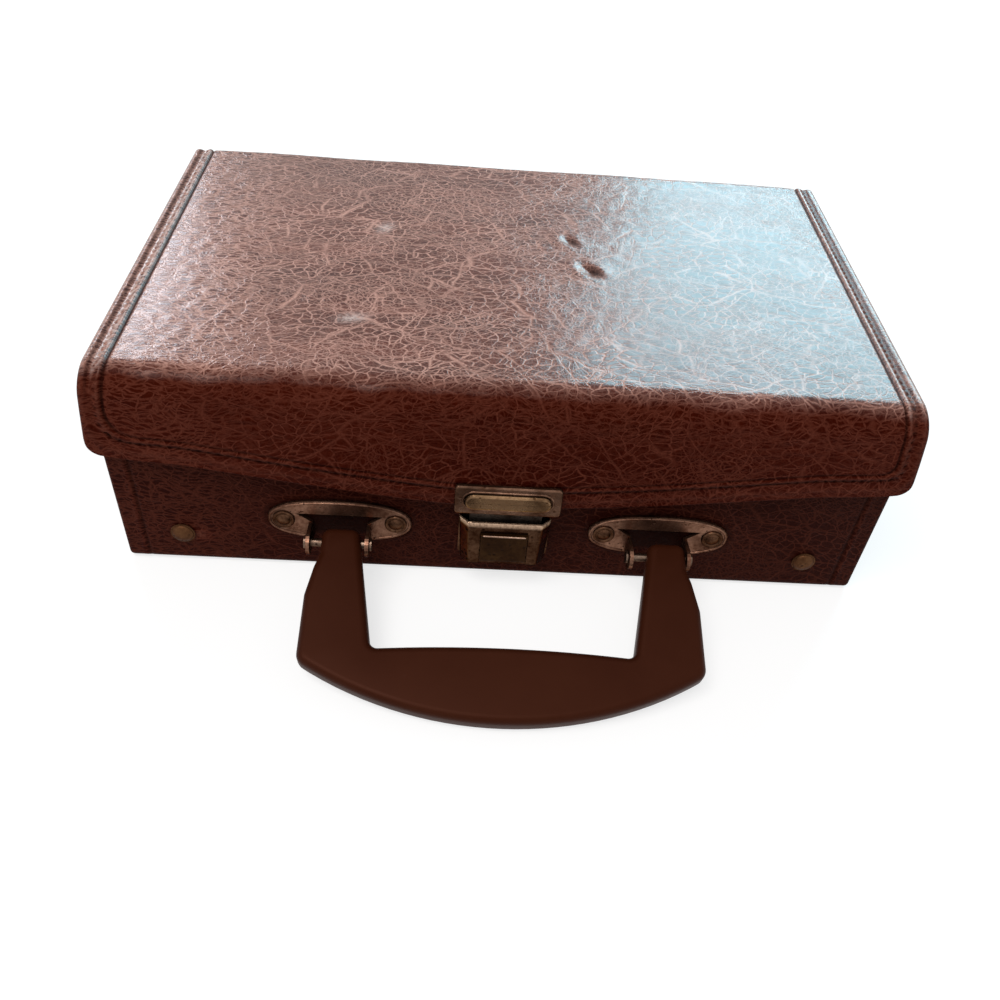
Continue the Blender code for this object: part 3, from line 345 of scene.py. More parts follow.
class Look(Graph):
    """A procedural material."""

    def __init__(self, name):
        self.material = bpy.data.materials.new(name)
        self.material.use_nodes = True
        super().__init__(self.material.node_tree)
        self.shader = self.tree.nodes["Principled BSDF"]
        self.place = self.node("TexCoord", "Object", {})

    def set(self, **values):
        for name, value in values.items():
            self.feed(self.shader.inputs[name.replace("_", " ")], value)
        return self.material

    def noise(self, scale, detail=2.0, rough=0.5, place=None, output="Fac"):
        return self.node("TexNoise", output, {
            "Vector": place or self.place, "Scale": scale, "Detail": detail,
            "Roughness": rough,
        })

    def cells(self, scale, feature, place, flat):
        return self.node(
            "TexVoronoi", "Distance", {"Vector": place, "Scale": scale}, feature=feature,
            voronoi_dimensions="2D" if flat else "3D",
        )

    def edges(self, scale, low, high, stretch, turn, place):
        """Lines of even width between flat cells."""
        way = self.stretched((*stretch, 1), (0, 0, turn), place)
        return self.remap(self.cells(scale, "DISTANCE_TO_EDGE", way, True), low, high, 1, 0)

    def stretched(self, scale, turn, place=None):
        """The place, turned and then scaled."""
        return self.node("Mapping", 0, {
            "Vector": place or self.place, "Scale": tuple(1 / part for part in scale),
            "Rotation": turn,
        }, vector_type="TEXTURE")

    def drifted(self, scale, amount, place=None):
        """The place, moved about by slow noise."""
        place = place or self.place
        slow = self.noise(scale, place=place, output="Color")
        centred = self.node("VectorMath", 0, {0: slow, 1: (0.5, 0.5, 0.5)}, operation="SUBTRACT")
        return self.node("VectorMath", 0, {0: centred, 1: (amount,) * 3, 2: place},
                         operation="MULTIPLY_ADD")

    def mix(self, share, first, second):
        pair = [(*value, 1) if isinstance(value, tuple) else value
                for value in (first, second)]
        return self.node("Mix", 2, {0: share, 6: pair[0], 7: pair[1]}, data_type="RGBA")

    def attribute(self, name):
        return self.node("Attribute", "Fac", {}, attribute_name=name)

    def bump(self, height, distance, strength):
        return self.node("Bump", 0, {
            "Height": height, "Distance": distance, "Strength": strength,
        })


def crackle(look, drift, local, pull):
    """A network of pale lines, drawn out sideways where the skin was pulled."""
    patch = look.remap(look.noise(48, 3, 0.6), 0.36, 0.62, smooth=True)
    other = look.remap(look.noise(36, 3, 0.6, look.stretched((0.6, 1, 1.3), (0, 0, 0.4))),
                       0.38, 0.6, smooth=True)
    wide_line = look.edges(310, 0.03, 0.095, (0.8, 1.3), 0.2, local)
    close_line = look.edges(700, 0.05, 0.17, (0.9, 1.3), 0.0, local)
    pulled = look.edges(560, 0.05, 0.18, (0.26, 1.2), 0.03, local)
    long_line = look.edges(95, 0.006, 0.036, (0.24, 1.0), 0.05, drift)
    falling = look.edges(115, 0.006, 0.042, (0.34, 1.0), -0.50, drift)
    rising = look.edges(90, 0.006, 0.034, (0.34, 1.0), 0.80, drift)
    close_line = look.times(close_line, look.remap(other, 0, 1, 0.15, 0.65))
    lines = look.times(wide_line, look.remap(patch, 0, 1, 0.65, 1.0))
    for line, by, *limits in (
        (close_line, pull, 0, 1, 1.0, 0.4), (pulled, pull, 0, 1, 0.0, 0.85),
        (long_line, other, 0, 1, 0.95, 0.25), (falling, patch, 0, 1, 0.95, 0.30),
        (rising, patch, 0.2, 0.8, 0.0, 0.9),
    ):
        lines = look.sum("MAXIMUM", lines, look.times(line, look.remap(by, *limits)))
    return look.times(lines, look.remap(look.noise(1300, 2, 0.6), 0.30, 0.55, 0.45, 1.0))


def leatherette(name):
    """Pebbled and crackled, darkest on upright faces.

    Wear, gloss and the place on the flat sheet come from the mesh. Wear under a half darkens to
    soil, also painting shade, and over a half is rubbed pale, also painting highlights; gloss adds
    a coat and paints the top paler as sheen.
    """
    look = Look(name)
    wear = look.attribute("wear")
    gloss = look.attribute("gloss")
    along = look.attribute("v")
    look.place = look.node("CombineXYZ", 0, {0: look.attribute("u"), 1: along})
    drift = look.drifted(55, 0.009)
    local = look.drifted(420, 0.0017, drift)
    below_edge = look.times(look.remap(along, 0.0230, 0.0330), look.remap(gloss, 0, 1, 0.75, 0.0))
    pull = look.sum("MAXIMUM", look.remap(look.attribute("u"), -0.060, -0.098), below_edge)
    lines = crackle(look, drift, local, pull)

    mottle = look.noise(520, 4, 0.7, local)
    tone = look.sum("ADD", look.times(look.noise(15, 4, 0.55), 0.45), look.times(mottle, 0.55))
    streak = look.noise(110, 4, 0.65, look.stretched((0.12, 1.0, 1.0), (0, 0, 0.05)))
    tone = look.sum("MULTIPLY_ADD", look.remap(streak, 0.35, 0.65, -0.35, 0.35), gloss,
                    look.remap(tone, 0.38, 0.62))
    tone = look.times(tone, look.remap(wear, 0.30, 0.48))
    upright, faded_and_sheen = (look.mix(lines, look.mix(tone, *tones), line)
                      for *tones, line in (UPRIGHT, FADED_AND_SHEEN))
    rubbed_and_lit = look.times(look.remap(wear, 0.52, 1.0),
                        look.remap(look.noise(800, 3, 0.6), 0.30, 0.60))
    colour = look.mix(rubbed_and_lit, look.mix(gloss, upright, faded_and_sheen), look.mix(gloss, *RUBBED_AND_LIT))
    colour = look.mix(look.times(look.remap(wear, 0.48, 0.0), 0.88), colour, SOIL_AND_SHADE)

    pebbles = look.cells(1500, "SMOOTH_F1", drift, True)
    height = look.sum("MULTIPLY_ADD", pebbles, 0.35, look.times(look.noise(2600, 3, 0.6), 0.15))
    height = look.sum("SUBTRACT", height, look.times(lines, 0.50))
    rough = look.sum("MULTIPLY_ADD", lines, 0.10, look.remap(mottle, 0.3, 0.7, 0.30, 0.42))
    return look.set(
        Base_Color=colour,
        Roughness=look.sum("ADD", rough, look.remap(gloss, 0, 1, 0.20, 0.0)),
        Specular_IOR_Level=0.05,
        Specular_Tint=(1.0, 0.28, 0.15, 1),
        Coat_Weight=look.times(gloss, 0.50),
        Coat_Roughness=0.16,
        Normal=look.bump(height, 0.00020, 0.55),
        Coat_Normal=look.bump(height, 0.00020, 0.36),
    )


def patinated(name, bright, dull, stain, metallic, rough, pit_scale, highlight_z=None):
    """Plated metal gone blotchy, with pits, and a painted highlight along an edge where heights
    are given.
    """
    look = Look(name)
    drift = look.drifted(160, 0.002)
    small = look.noise(900, 4, 0.7, drift)
    pit = look.remap(look.cells(pit_scale, "F1", drift, False), 0.16, 0.30, 1.0, 0.0)
    pit = look.times(pit, look.remap(look.noise(240, 2, 0.5), 0.42, 0.58))
    tone = look.sum("MULTIPLY_ADD", small, 0.45, look.times(look.noise(130, 5, 0.62, drift), 0.55))
    tone = look.remap(tone, 0.38, 0.62)
    dirt = look.remap(look.noise(75, 4, 0.6), 0.50, 0.70)
    colour = look.mix(look.times(dirt, 0.7), look.mix(tone, dull, bright), stain)
    colour = look.mix(look.times(pit, 0.8), colour, stain)
    # Painted highlight along the edge between the given heights
    if highlight_z:
        upward = look.node("SeparateXYZ", "Z", {0: look.place})
        painted_highlight = look.times(look.remap(upward, *highlight_z, smooth=True),
                         look.remap(small, 0.25, 0.55, 0.35, 0.95))
        colour = look.mix(painted_highlight, colour, HIGHLIGHT_METAL)
    rougher = look.sum("MULTIPLY_ADD", tone, -0.5, look.times(pit, 0.5))
    height = look.sum("MULTIPLY_ADD", small, 0.4, look.times(pit, -0.8))
    return look.set(
        Base_Color=colour,
        Metallic=metallic,
        Specular_IOR_Level=0.12,
        Specular_Tint=(0.22, 0.16, 0.11, 1),
        Roughness=look.remap(rougher, -0.5, 0.5, rough - 0.14, rough + 0.2),
        Normal=look.bump(height, 0.00016, 0.5),
    )


def moulded(name, colour, second, rough, level, scratch):
    """Moulded plastic with a fine satin skin, flow marks and faint scratches."""
    look = Look(name)
    slow = look.noise(30, 4, 0.6)
    mark = look.noise(700, 2, 0.5, look.stretched((0.06, 1.0, 1.0), (0, 0, 0.5)))
    scratches = look.times(look.remap(mark, 0.69, 0.73), look.remap(look.noise(60, 2), 0.52, 0.6))
    pale = tuple(min(1.0, 2.0 * part + 0.02) for part in second)
    blend = look.mix(look.remap(slow, 0.35, 0.65), colour, second)
    rougher = look.sum("ADD", slow, look.times(scratches, 0.5))
    return look.set(
        Base_Color=look.mix(look.times(scratches, scratch), blend, pale),
        Roughness=look.remap(rougher, 0.3, 1.0, rough - 0.04, rough + 0.12),
        Specular_IOR_Level=level,
        Specular_Tint=(1.0, 0.45, 0.32, 1),
        Normal=look.bump(look.noise(3200, 3, 0.6), 0.00006, 0.35),
    )


def fibrous(name, first, second, rough, scale, nap):
    """Pressed fibreboard, lining paper or a napped cloth."""
    look = Look(name)
    fibres = look.noise(scale, 4, 0.7, look.stretched((0.25, 1, 1), (0.3, 0.2, 0.7)))
    crossed = look.noise(scale, 4, 0.7, look.stretched((1, 0.25, 1), (0.1, 0.6, 0.2)))
    weave = look.sum("MAXIMUM", fibres, crossed)
    tone = look.sum("MULTIPLY_ADD", look.noise(25, 3, 0.6), 0.4, look.times(weave, 0.6))
    return look.set(
        Base_Color=look.mix(look.remap(tone, 0.4, 0.7), first, second),
        Roughness=look.remap(weave, 0.3, 0.7, rough - 0.06, rough + 0.05),
        Specular_IOR_Level=0.25,
        Sheen_Weight=nap,
        Normal=look.bump(weave, 0.0003, 0.6),
    )


def make_looks():
    looks = {"leather": leatherette("leatherette")}
    for make, table in ((patinated, METALS), (moulded, PLASTICS), (fibrous, FIBRES)):
        looks.update((name, make(*values)) for name, values in table.items())
    return looks


# Mesh helpers
def put(name, data):
    """A new object in the scene."""
    obj = bpy.data.objects.new(name, data)
    bpy.context.scene.collection.objects.link(obj)
    return obj


def shown(name, mesh, material, smooth=True, sharp=None):
    mesh.materials.append(material)
    if smooth:
        mesh.shade_smooth()
    if sharp is not None:
        mesh.set_sharp_from_angle(angle=radians(sharp))
    return put(name, mesh)


def sheet(name, verts, faces, **shares):
    """A new mesh, with each share kept as a number at its points."""
    mesh = bpy.data.meshes.new(name)
    mesh.from_pydata([tuple(v) for v in verts], [], faces)
    for share, values in shares.items():
        layer = mesh.attributes.new(share, "FLOAT", "POINT")
        values = np.broadcast_to(np.asarray(values, dtype=np.float32).ravel(), len(verts))
        layer.data.foreach_set("value", np.ascontiguousarray(values))
    return mesh


def piece(name, verts, faces, material, body, slot, node=None, smooth=True, sharp=None, **shares):
    """A new mesh object that rides on a body, and may take a node's place."""
    mesh = sheet(name, verts, faces, **shares)
    shape = bmesh.new()
    shape.from_mesh(mesh)
    bmesh.ops.recalc_face_normals(shape, faces=shape.faces)
    shape.to_mesh(mesh)
    shape.free()
    obj = shown(name, mesh, material, smooth, sharp)
    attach(obj, body)
    if node:
        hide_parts(node)
    return obj


def grid_faces(rows, columns, start=0, loop=False):
    faces = []
    span = columns if loop else columns - 1
    for i in range(rows - 1):
        for j in range(span):
            k = (j + 1) % columns
            a = start + i * columns
            b = a + columns
            faces.append((a + j, a + k, b + k, b + j))
    return faces


def lofted(rings, closed_ends=True):
    """Vertices and faces of equal rings joined in order, with flat ends."""
    count = len(rings[0])
    verts = [point for ring in rings for point in ring]
    faces = grid_faces(len(rings), count, loop=True)
    if closed_ends:
        faces.append(tuple(range(count)))
        last = (len(rings) - 1) * count
        faces.append(tuple(range(last, last + count)))
    return verts, faces


def tube(path, radius, sides=12, closed=False, taper=None, axis=None):
    """A round bead along a path in a plane across Y, or round an upright axis."""
    path = [Vector(p) for p in path]
    rings = []
    count = len(path)
    for i, point in enumerate(path):
        before = path[i - 1] if closed or i else point
        after = path[(i + 1) % count] if closed or i + 1 < count else point
        side = Vector((0, 1, 0))
        if axis:
            side = Vector((point.x - axis.x, point.y - axis.y, 0)).normalized()
        up = (after - before).normalized().cross(side).normalized()
        size = radius * (taper[i] if taper else 1)
        rings.append([
            point + side * cos(TURN * k / sides) * size
            + up * sin(TURN * k / sides) * size
            for k in range(sides)
        ])
    verts, faces = lofted(rings, not closed)
    if closed:
        last = (count - 1) * sides
        for k in range(sides):
            n = (k + 1) % sides
            faces.append((last + k, last + n, n, k))
    return verts, faces


def turned(profile, x, z, sides=40):
    """A closed form turned about a line across the front, from (radius, standoff) points."""
    return lofted([
        [
            (x + radius * cos(TURN * k / sides), BASE_FRONT - standoff,
             z + radius * sin(TURN * k / sides))
            for k in range(sides)
        ]
        for radius, standoff in profile
    ])


def ripples(x, y, length, seed, count=14):
    """Smooth irregular waves over a surface, about -1 to 1."""
    chance = np.random.default_rng(seed)
    total = np.zeros(np.broadcast(x, y).shape)
    for _ in range(count):
        angle = chance.uniform(0, TURN)
        step = TURN / (length * chance.uniform(0.7, 1.6))
        phase = chance.uniform(0, TURN)
        total += np.sin(step * (x * cos(angle) + y * sin(angle)) + phase)
    return total / sqrt(count)


def ease(value, low, high):
    """A smooth rise from 0 to 1."""
    share = np.clip((value - low) / (high - low), 0, 1)
    return share * share * (3 - 2 * share)


def hill(value, centre, width):
    return np.exp(-(((value - centre) / width) ** 2))


def soft_minimum(first, second, width):
    """The smaller of two distances, rounded where they meet."""
    share = np.clip(0.5 + 0.5 * (second - first) / width, 0, 1)
    return second * (1 - share) + first * share - width * share * (1 - share)


class Section:
    """A curve across the case, with its outward normal, by length along it."""

    def __init__(self, points, hand=1):
        points = np.array(points)
        steps = np.hypot(*np.diff(points, axis=0).T)
        points = points[np.hstack(([True], steps > 1e-9))]
        steps = np.hypot(*np.diff(points, axis=0).T)
        self.length = np.hstack(([0.0], np.cumsum(steps)))
        self.points = points
        along = np.gradient(points, self.length, axis=0)
        along /= np.hypot(*along.T)[:, None]
        self.normals = hand * np.stack([-along[:, 1], along[:, 0]], axis=1)

    def at(self, length):
        """Place and normal, as y, z, normal y and normal z."""
        return [np.interp(length, self.length, column)
                for column in (*self.points.T, *self.normals.T)]

    def inside(self, length, depth):
        y, z, ny, nz = self.at(length)
        return y - ny * depth, z - nz * depth


def arc(centre, radius, start, end, steps=40):
    angles = np.linspace(start, end, steps + 1)
    return [(centre[0] + radius * cos(a), centre[1] + radius * sin(a)) for a in angles]


def columns_across(half, fine, coarse, band):
    """Columns (x, inset, distance from the end) over the width and round both edges."""
    flat = half - END_ROUND
    middle = np.arange(0, half - band, coarse)
    outer = np.linspace(half - band, flat, int(round((flat - half + band) / fine)) + 1)
    turn = np.linspace(0, pi / 2, 8)[1:]
    x = np.hstack((middle, outer, flat + END_ROUND * np.sin(turn)))
    inset = np.hstack((np.zeros(len(middle) + len(outer)), END_ROUND * (1 - np.cos(turn))))
    away = np.hstack((half - middle, half - outer, END_ROUND * (1 - turn * 2 / pi) * 0.9))
    x = np.hstack((-x[:0:-1], x))
    return x, np.hstack((inset[:0:-1], inset)), np.hstack((away[:0:-1], away))


def dent(x, y, at, angle, length, width):
    """A short pressed mark."""
    along = (x - at[0]) * cos(angle) + (y - at[1]) * sin(angle)
    across = -(x - at[0]) * sin(angle) + (y - at[1]) * cos(angle)
    return np.exp(-((along / length) ** 2) - (across / width) ** 2)


def flush(height, ny):
    """Nothing stands out on the back, where the lid folds down flat against the base."""
    back = ease(ny, 0.3, 0.9)
    return height * (1 - back) + (np.minimum(height, 0) - SET_BACK) * back


def skin_piece(name, node, look, body, x, places, turned_in, **shares):
    """A skin from its grid of (y, z), with two rows turned in under its first edge."""
    y, z = (np.vstack((np.array(edge), grid)) for edge, grid in zip(turned_in, places))
    x = np.broadcast_to(x, y.shape)
    flared = flare(x, z) if body == "lid" else x
    piece(name, np.stack((flared, y, z), axis=-1).reshape(-1, 3), grid_faces(*y.shape), look,
          body, "leatherette", node, u=x, **shares)


def make_walls(body, look, outline, half_at, wear):
    """The flat ends of the base or the lid."""
    for side, hand in HANDS:
        verts, faces = lofted([
            [(side * (half_at(b) - inwards), a, b) for a, b in outline]
            for inwards in (0.0, SKIN)
        ])
        piece(f"{body}_wall_{hand}", verts, faces, look, body, "leatherette",
              f"{body}_end_{hand}", smooth=False, wear=wear, gloss=0.0,
              u=[v[1] for v in verts], v=[v[2] - 2 for v in verts])


# Lid
def flare(x, z):
    return x * (1 + LID_FLARE / LID_HALF * (CASE_TOP - z) / (CASE_TOP - RIM))


def front_standoff(z):
    share = (z - FLAP_LOW) / (CASE_TOP - FLAP_LOW)
    return FLAP_STANDOFF - (FLAP_STANDOFF - TOP_STANDOFF) * share**2


def flap_edge(x):
    """Height of the flap's lower edge."""
    far = np.abs(x)
    edge = FLAP_LOW + FLAP_RISE * (far / FLAP_HALF) ** FLAP_POWER
    edge -= FLAP_DROOP * ease(far, *DROOP_REACH)
    beyond = np.clip(far - (FLAP_HALF - FLAP_CORNER), 0, FLAP_CORNER)
    return edge + FLAP_CORNER - np.sqrt(FLAP_CORNER**2 - beyond**2)


def lid_section(low):
    top_front = BASE_FRONT - TOP_STANDOFF
    heights = np.linspace(low, CASE_TOP - FRONT_ROUND, FRONT_ROWS)
    points = [(BASE_FRONT - front_standoff(z), z) for z in heights]
    slope = points[-1][0] - top_front
    centre = (top_front + FRONT_ROUND, CASE_TOP - FRONT_ROUND)
    rounded = arc(centre, FRONT_ROUND, pi, pi / 2)
    points += [(y + slope * (1 - i / (len(rounded) - 1)), z) for i, (y, z) in enumerate(rounded)]
    back = (BASE_BACK - BACK_ROUND, CASE_TOP - BACK_ROUND)
    points += [(y, CASE_TOP) for y in np.linspace(points[-1][0], back[0], 60)]
    points += arc(back, BACK_ROUND, pi / 2, 0)
    points += [(BASE_BACK, z) for z in np.linspace(back[1], HINGE_HIGH, 30)]
    return Section(points)


def band_profile(away, along, hem, right, top):
    """Height, wear and shine of the stitched edge band at a distance from the edge.

    The hem is flatter, with a second line of stitches; the left and right bands have
    worn differently on the top.
    """
    height = sum(rise * hill(away, at, width) for at, width, rise in BANDS)
    pulse = 0.5 + 0.5 * np.cos(TURN * along / STITCH_PITCH)
    stitch = hill(away, STITCH_AT, STITCH_WIDTH)
    hole = ease(pulse, 0.62, 0.95) * stitch
    thread = ease(1 - pulse, 0.25, 0.6) * stitch
    height = height - STITCH_DEPTH * hole + THREAD_RISE * thread
    trench = hem * hill(away, STITCH_AT + 0.0001, 0.00055) * (0.72 + 0.28 * pulse)
    height = (height - TRENCH_DEPTH * trench) * (1 - 0.45 * hem)

    seam = hill(away, SEAM_AT, 0.00040)
    plain = 0.22 * hill(away, BEAD_AT, 0.0007) + 0.12 * hill(away, ROLL_AT, 0.0009)
    plain = plain - 0.50 * seam - 0.40 * hole + 0.08 * thread
    plain = plain * (1 - 0.35 * hem) - 0.46 * trench
    plain += 0.05 * hem * hill(away, 0.0026, 0.0016)

    # On the left the fold between seam and channel is rubbed pale, in ragged patches
    ragged = 0.5 + 0.5 * ripples(away * 2, along, 0.0030, 41)
    thick_seam = hill(away, SEAM_AT + 0.0001, 0.00062)
    fold = ease(away, 0.0032, 0.0040) * (1 - ease(away, 0.0060, 0.0067))
    on_left = 0.46 * fold * ragged + 0.20 * hill(away, 0.0009, 0.0007)
    on_left = on_left - 0.24 * hill(away, 0.0026, 0.0006) - 0.40 * thick_seam
    shine_left = 1 - 0.90 * thick_seam - 0.60 * hill(away, 0.0026, 0.0008)

    # On the right both ridges are pale, with a dull trough and dark stitch holes between
    trough = ease(away, 0.0023, 0.0028) * (1 - ease(away, 0.0052, 0.0057))
    dots = ease(pulse + 0.25 * ripples(away, along, 0.0050, 43), 0.60, 0.95)
    dots *= hill(away, 0.0044, 0.0005)
    on_right = 0.42 * hill(away, 0.0062, 0.00040) + 0.26 * hill(away, 0.0014, 0.0008)
    on_right = on_right - 0.40 * seam - 0.42 * dots - 0.22 * hill(away, 0.0012, 0.00022)
    shine_right = 1 - 0.90 * seam - 0.62 * trough

    on_top = on_left * (1 - right) + on_right * right
    wear = 0.5 + plain * (1 - top) + on_top * top
    shine_and_shade = 1 + (shine_left * (1 - right) + shine_right * right - 1) * top
    return height, np.clip(wear, 0, 1), np.clip(shine_and_shade, 0, 1)


def marked(x, y, flat, height, wear, shine_and_shade):
    """Add the pressed marks and scuffs of the top, with a painted highlight and painted shade on
    the sides of each deep mark.
    """
    for at, angle, length, width, depth in MARKS:
        mark = dent(x, y, at, angle, length, width)
        rim = dent(x, y, at, angle, length * 1.5, width * 2.3)
        height = height - flat * depth * (1.35 * mark - 0.6 * rim)
        if depth < SCUFF_LIMIT:
            wear = wear + flat * 0.42 * mark
            continue
        # Painted highlight on one side of a deep mark and painted shade on the other
        lit = dent(x, y, (at[0] - width, at[1] + 0.0004), angle, length * 0.8, width * 0.55)
        shaded = dent(x, y, (at[0] + width * 0.8, at[1] - 0.0004), angle, length * 0.9,
                      width * 0.6)
        wear = wear + flat * (0.46 * lit - 0.48 * shaded)
        shine_and_shade = shine_and_shade - flat * 0.7 * shaded
    return height, wear, shine_and_shade


def lid_rows(section, edge, joint, front_end):
    """Lengths of the rows: level above the joint, and following the flap's edge below it."""
    share = np.hstack((np.linspace(0, 0.55, 34), np.linspace(0.55, 1, 18)[1:]))
    total = section.length[-1]
    upper = np.hstack((
        np.arange(joint, front_end, 0.00065)[1:],
        np.linspace(front_end, front_end + 0.0140, 26),
        np.arange(front_end + 0.0146, total - 0.0260, 0.00062),
        np.linspace(total - 0.0258, total, 50),
    ))
    return np.array([edge + (joint - edge) * t for t in share]
                    + [np.full_like(edge, v) for v in upper])


def make_lid_skin(looks):
    """The whole cover of the lid: flap, front, top and back, with its stitched bands."""
    section = lid_section(FLAP_LOW - 0.001)
    x, inset, away = columns_across(LID_HALF, fine=0.00030, coarse=0.00095, band=0.0098)
    front = slice(0, FRONT_ROWS)
    edge, joint, front_end = (
        np.interp(z, section.points[front, 1], section.length[front])
        for z in (flap_edge(flare(x, 0.0500)), 0.0615, CASE_TOP - FRONT_ROUND)
    )
    rows = lid_rows(section, edge, joint, front_end)
    total = section.length[-1]

    # Distance from the nearer of the end and the hem, along a rounded corner
    above = rows - edge
    hem = above - HEM_SHIFT
    on_front = 1 - ease(rows, front_end - 0.004, front_end + 0.008)
    on_top = 1 - on_front
    distance = soft_minimum(hem, away, np.where(x < 0, *CORNER_SOFT))
    distance = away + (distance - away) * ease(on_front, 0.0, 0.4)
    along = np.where(away < hem, rows, x)
    on_hem = ease(away - hem, -0.0015, 0.0015) * on_front
    height, wear, shine_and_shade = band_profile(distance, along, on_hem, x > 0, on_top)

    # Loose skin: a crown, slow swells, and creases that run along below the front edge
    y, z, ny, nz = section.at(rows)
    loose = ease(away, 0.008, 0.020)
    # The top is darker towards the back left
    back_left = ease(y, 0.010, 0.065) * (1 - ease(x, -0.070, 0.010)) * loose
    wear -= BACK_LEFT_DARKENING * back_left * on_top
    crown = 1 - np.exp(-np.clip(away - SEAM_AT, 0, None) / CROWN_REACH)
    height += CROWN * crown * ease(nz, 0.3, 0.95)
    ridge = ripples(x * 0.28, rows, 0.0036, 5) * ripples(x, rows, 0.030, 6)
    below = hill(rows, front_end - 0.0045, 0.0065)
    swell = ripples(x, rows, 0.055, 3) * SWELL
    height += loose * (swell + SWELL * ridge * below)
    middle = ease(above, 0.010, 0.016) * loose
    height += middle * RIPPLE * ripples(x, rows, 0.006, 8)
    height, wear, shine_and_shade = marked(x, y, nz > 0.98, height, wear, shine_and_shade)

    lift = flush(height, ny) - inset
    wear = np.vstack((np.full((2, len(x)), 0.25), wear))
    wear[2] = 0.35
    # The top's coat and its paler colour, which is partly painted sheen, begin a little way over
    # the front edge and stop short of the back
    sheen_edge = rows + 0.0009 * ripples(x, 0, 0.018, 31)
    gloss = ease(sheen_edge, front_end + SHEEN_START, front_end + SHEEN_FULL)
    gloss *= 1 - ease(rows, total - SHEEN_BACK[0], total - SHEEN_BACK[1])
    gloss = np.vstack((np.zeros((2, len(x))), gloss * np.clip(shine_and_shade, 0, 1)))
    depth = np.maximum(inset, TURNED_IN)
    under = [section.inside(length, depth) for length in (edge + 0.0030, edge)]
    skin_piece(
        "lid_skin", "lid_cover", looks["leather"], "lid", x, (y + ny * lift, z + nz * lift),
        zip(*under), wear=wear, gloss=gloss, v=np.vstack((edge, edge, rows)),
    )

    # The ends go down to the rim, with a round lower front corner
    y, z = section.inside(rows[:, -1], END_ROUND)
    outline = [*zip(y[::3], z[::3]), (y[-1], z[-1]), (BASE_BACK - END_ROUND, LID_RIM)]
    low = z[0] + 0.0002
    foot = BASE_FRONT - TOP_STANDOFF + END_ROUND + 0.0005
    outline += arc((foot, low), low - LID_RIM, 1.5 * pi, 1.02 * pi, 8)
    make_walls("lid", looks["leather"], outline, lambda b: flare(LID_HALF, b), 0.5)


# Base
def base_section():
    front, back = BASE_FRONT + BASE_ROUND, BASE_BACK - BASE_ROUND
    points = [(BASE_FRONT, z) for z in np.linspace(BASE_RIM, BASE_ROUND, 40)]
    points += arc((front, BASE_ROUND), BASE_ROUND, pi, 1.5 * pi)
    points += [(y, 0.0) for y in np.linspace(front, back, 40)]
    points += arc((back, BASE_ROUND), BASE_ROUND, 1.5 * pi, TURN)
    points += [(BASE_BACK, z) for z in np.linspace(BASE_ROUND, HINGE_LOW, 40)]
    return Section(points, -1)


def make_base_skin(looks):
    """Front, underside and back of the base, with the end bands."""
    section = base_section()
    x, inset, away = columns_across(BASE_HALF, fine=0.00035, coarse=0.0010, band=0.0090)
    total = section.length[-1]
    front_end, back_start = BASE_RIM - BASE_ROUND, total - HINGE_LOW + BASE_ROUND
    lengths = np.hstack((
        np.linspace(0, front_end, 66),
        np.linspace(front_end, BASE_RIM + 0.004, 14)[1:],
        np.linspace(BASE_RIM + 0.008, total - 0.066, 24),
        np.linspace(total - 0.063, back_start, 12),
        np.linspace(back_start, total, 34)[1:],
    ))
    rows = lengths[:, None]
    y, z, ny, nz = section.at(rows)
    groove = hill(away, SEAM_AT, 0.00062)
    height = -0.00045 * groove + 0.00016 * hill(away, BEAD_AT - 0.0002, 0.0008)
    # Low wear darkens the base front, partly as grime and partly as painted shade under the flap,
    # and more towards the right
    wear = 0.29 - 0.35 * x - 0.18 * groove + 0.08 * hill(away, BEAD_AT, 0.0008)
    loose = ease(away, 0.008, 0.018)
    height = height + loose * 0.00007 * ripples(x, rows, 0.040, 11)
    # The skin swells round each bracket; a dark ring at its edge and the darkened skin behind it
    # are painted shade
    on_front = ny < -0.9
    for side, _ in HANDS:
        across = np.abs(x - side * BRACKET_X) / (BRACKET_HALF[0] + BRACKET_MARGIN)
        up = np.abs(z - BRACKET_Z) / (BRACKET_HALF[1] + BRACKET_MARGIN)
        reach = (across**BRACKET_POWER + up**BRACKET_POWER) ** (1 / BRACKET_POWER)
        height = height + on_front * 0.00022 * hill(reach, 1.055, 0.045)
        wear = wear - on_front * 0.18 * hill(reach, 1.005, 0.03)
        wear = wear - on_front * 0.42 * (1 - ease(reach, 0.55, 0.9))
    smear = dent(x, z, (-0.1012, 0.0128), 0.1, 0.0032, 0.0022)
    wear = np.clip(wear + on_front * 0.50 * smear, 0, 1)
    lift = flush(height * ease(z, 0.0002, 0.003), ny) - inset
    inner = np.full_like(x, BASE_FRONT + TURNED_IN)
    skin_piece(
        "base_skin", "base_cover", looks["leather"], "base", x,
        (y + ny * lift, z + nz * lift),
        ((inner, inner), (np.full_like(x, BASE_RIM - 0.004), np.full_like(x, BASE_RIM))),
        wear=np.vstack((np.full((2, len(x)), 0.3), wear)), gloss=0.0,
        v=np.repeat(np.hstack(([-1.002, -1.001], lengths - 1)), len(x)),
    )
    outline = [*zip(*section.inside(lengths, END_ROUND)), (BASE_BACK - END_ROUND, BASE_RIM)]
    make_walls("base", looks["leather"], outline, lambda b: BASE_HALF, 0.36)


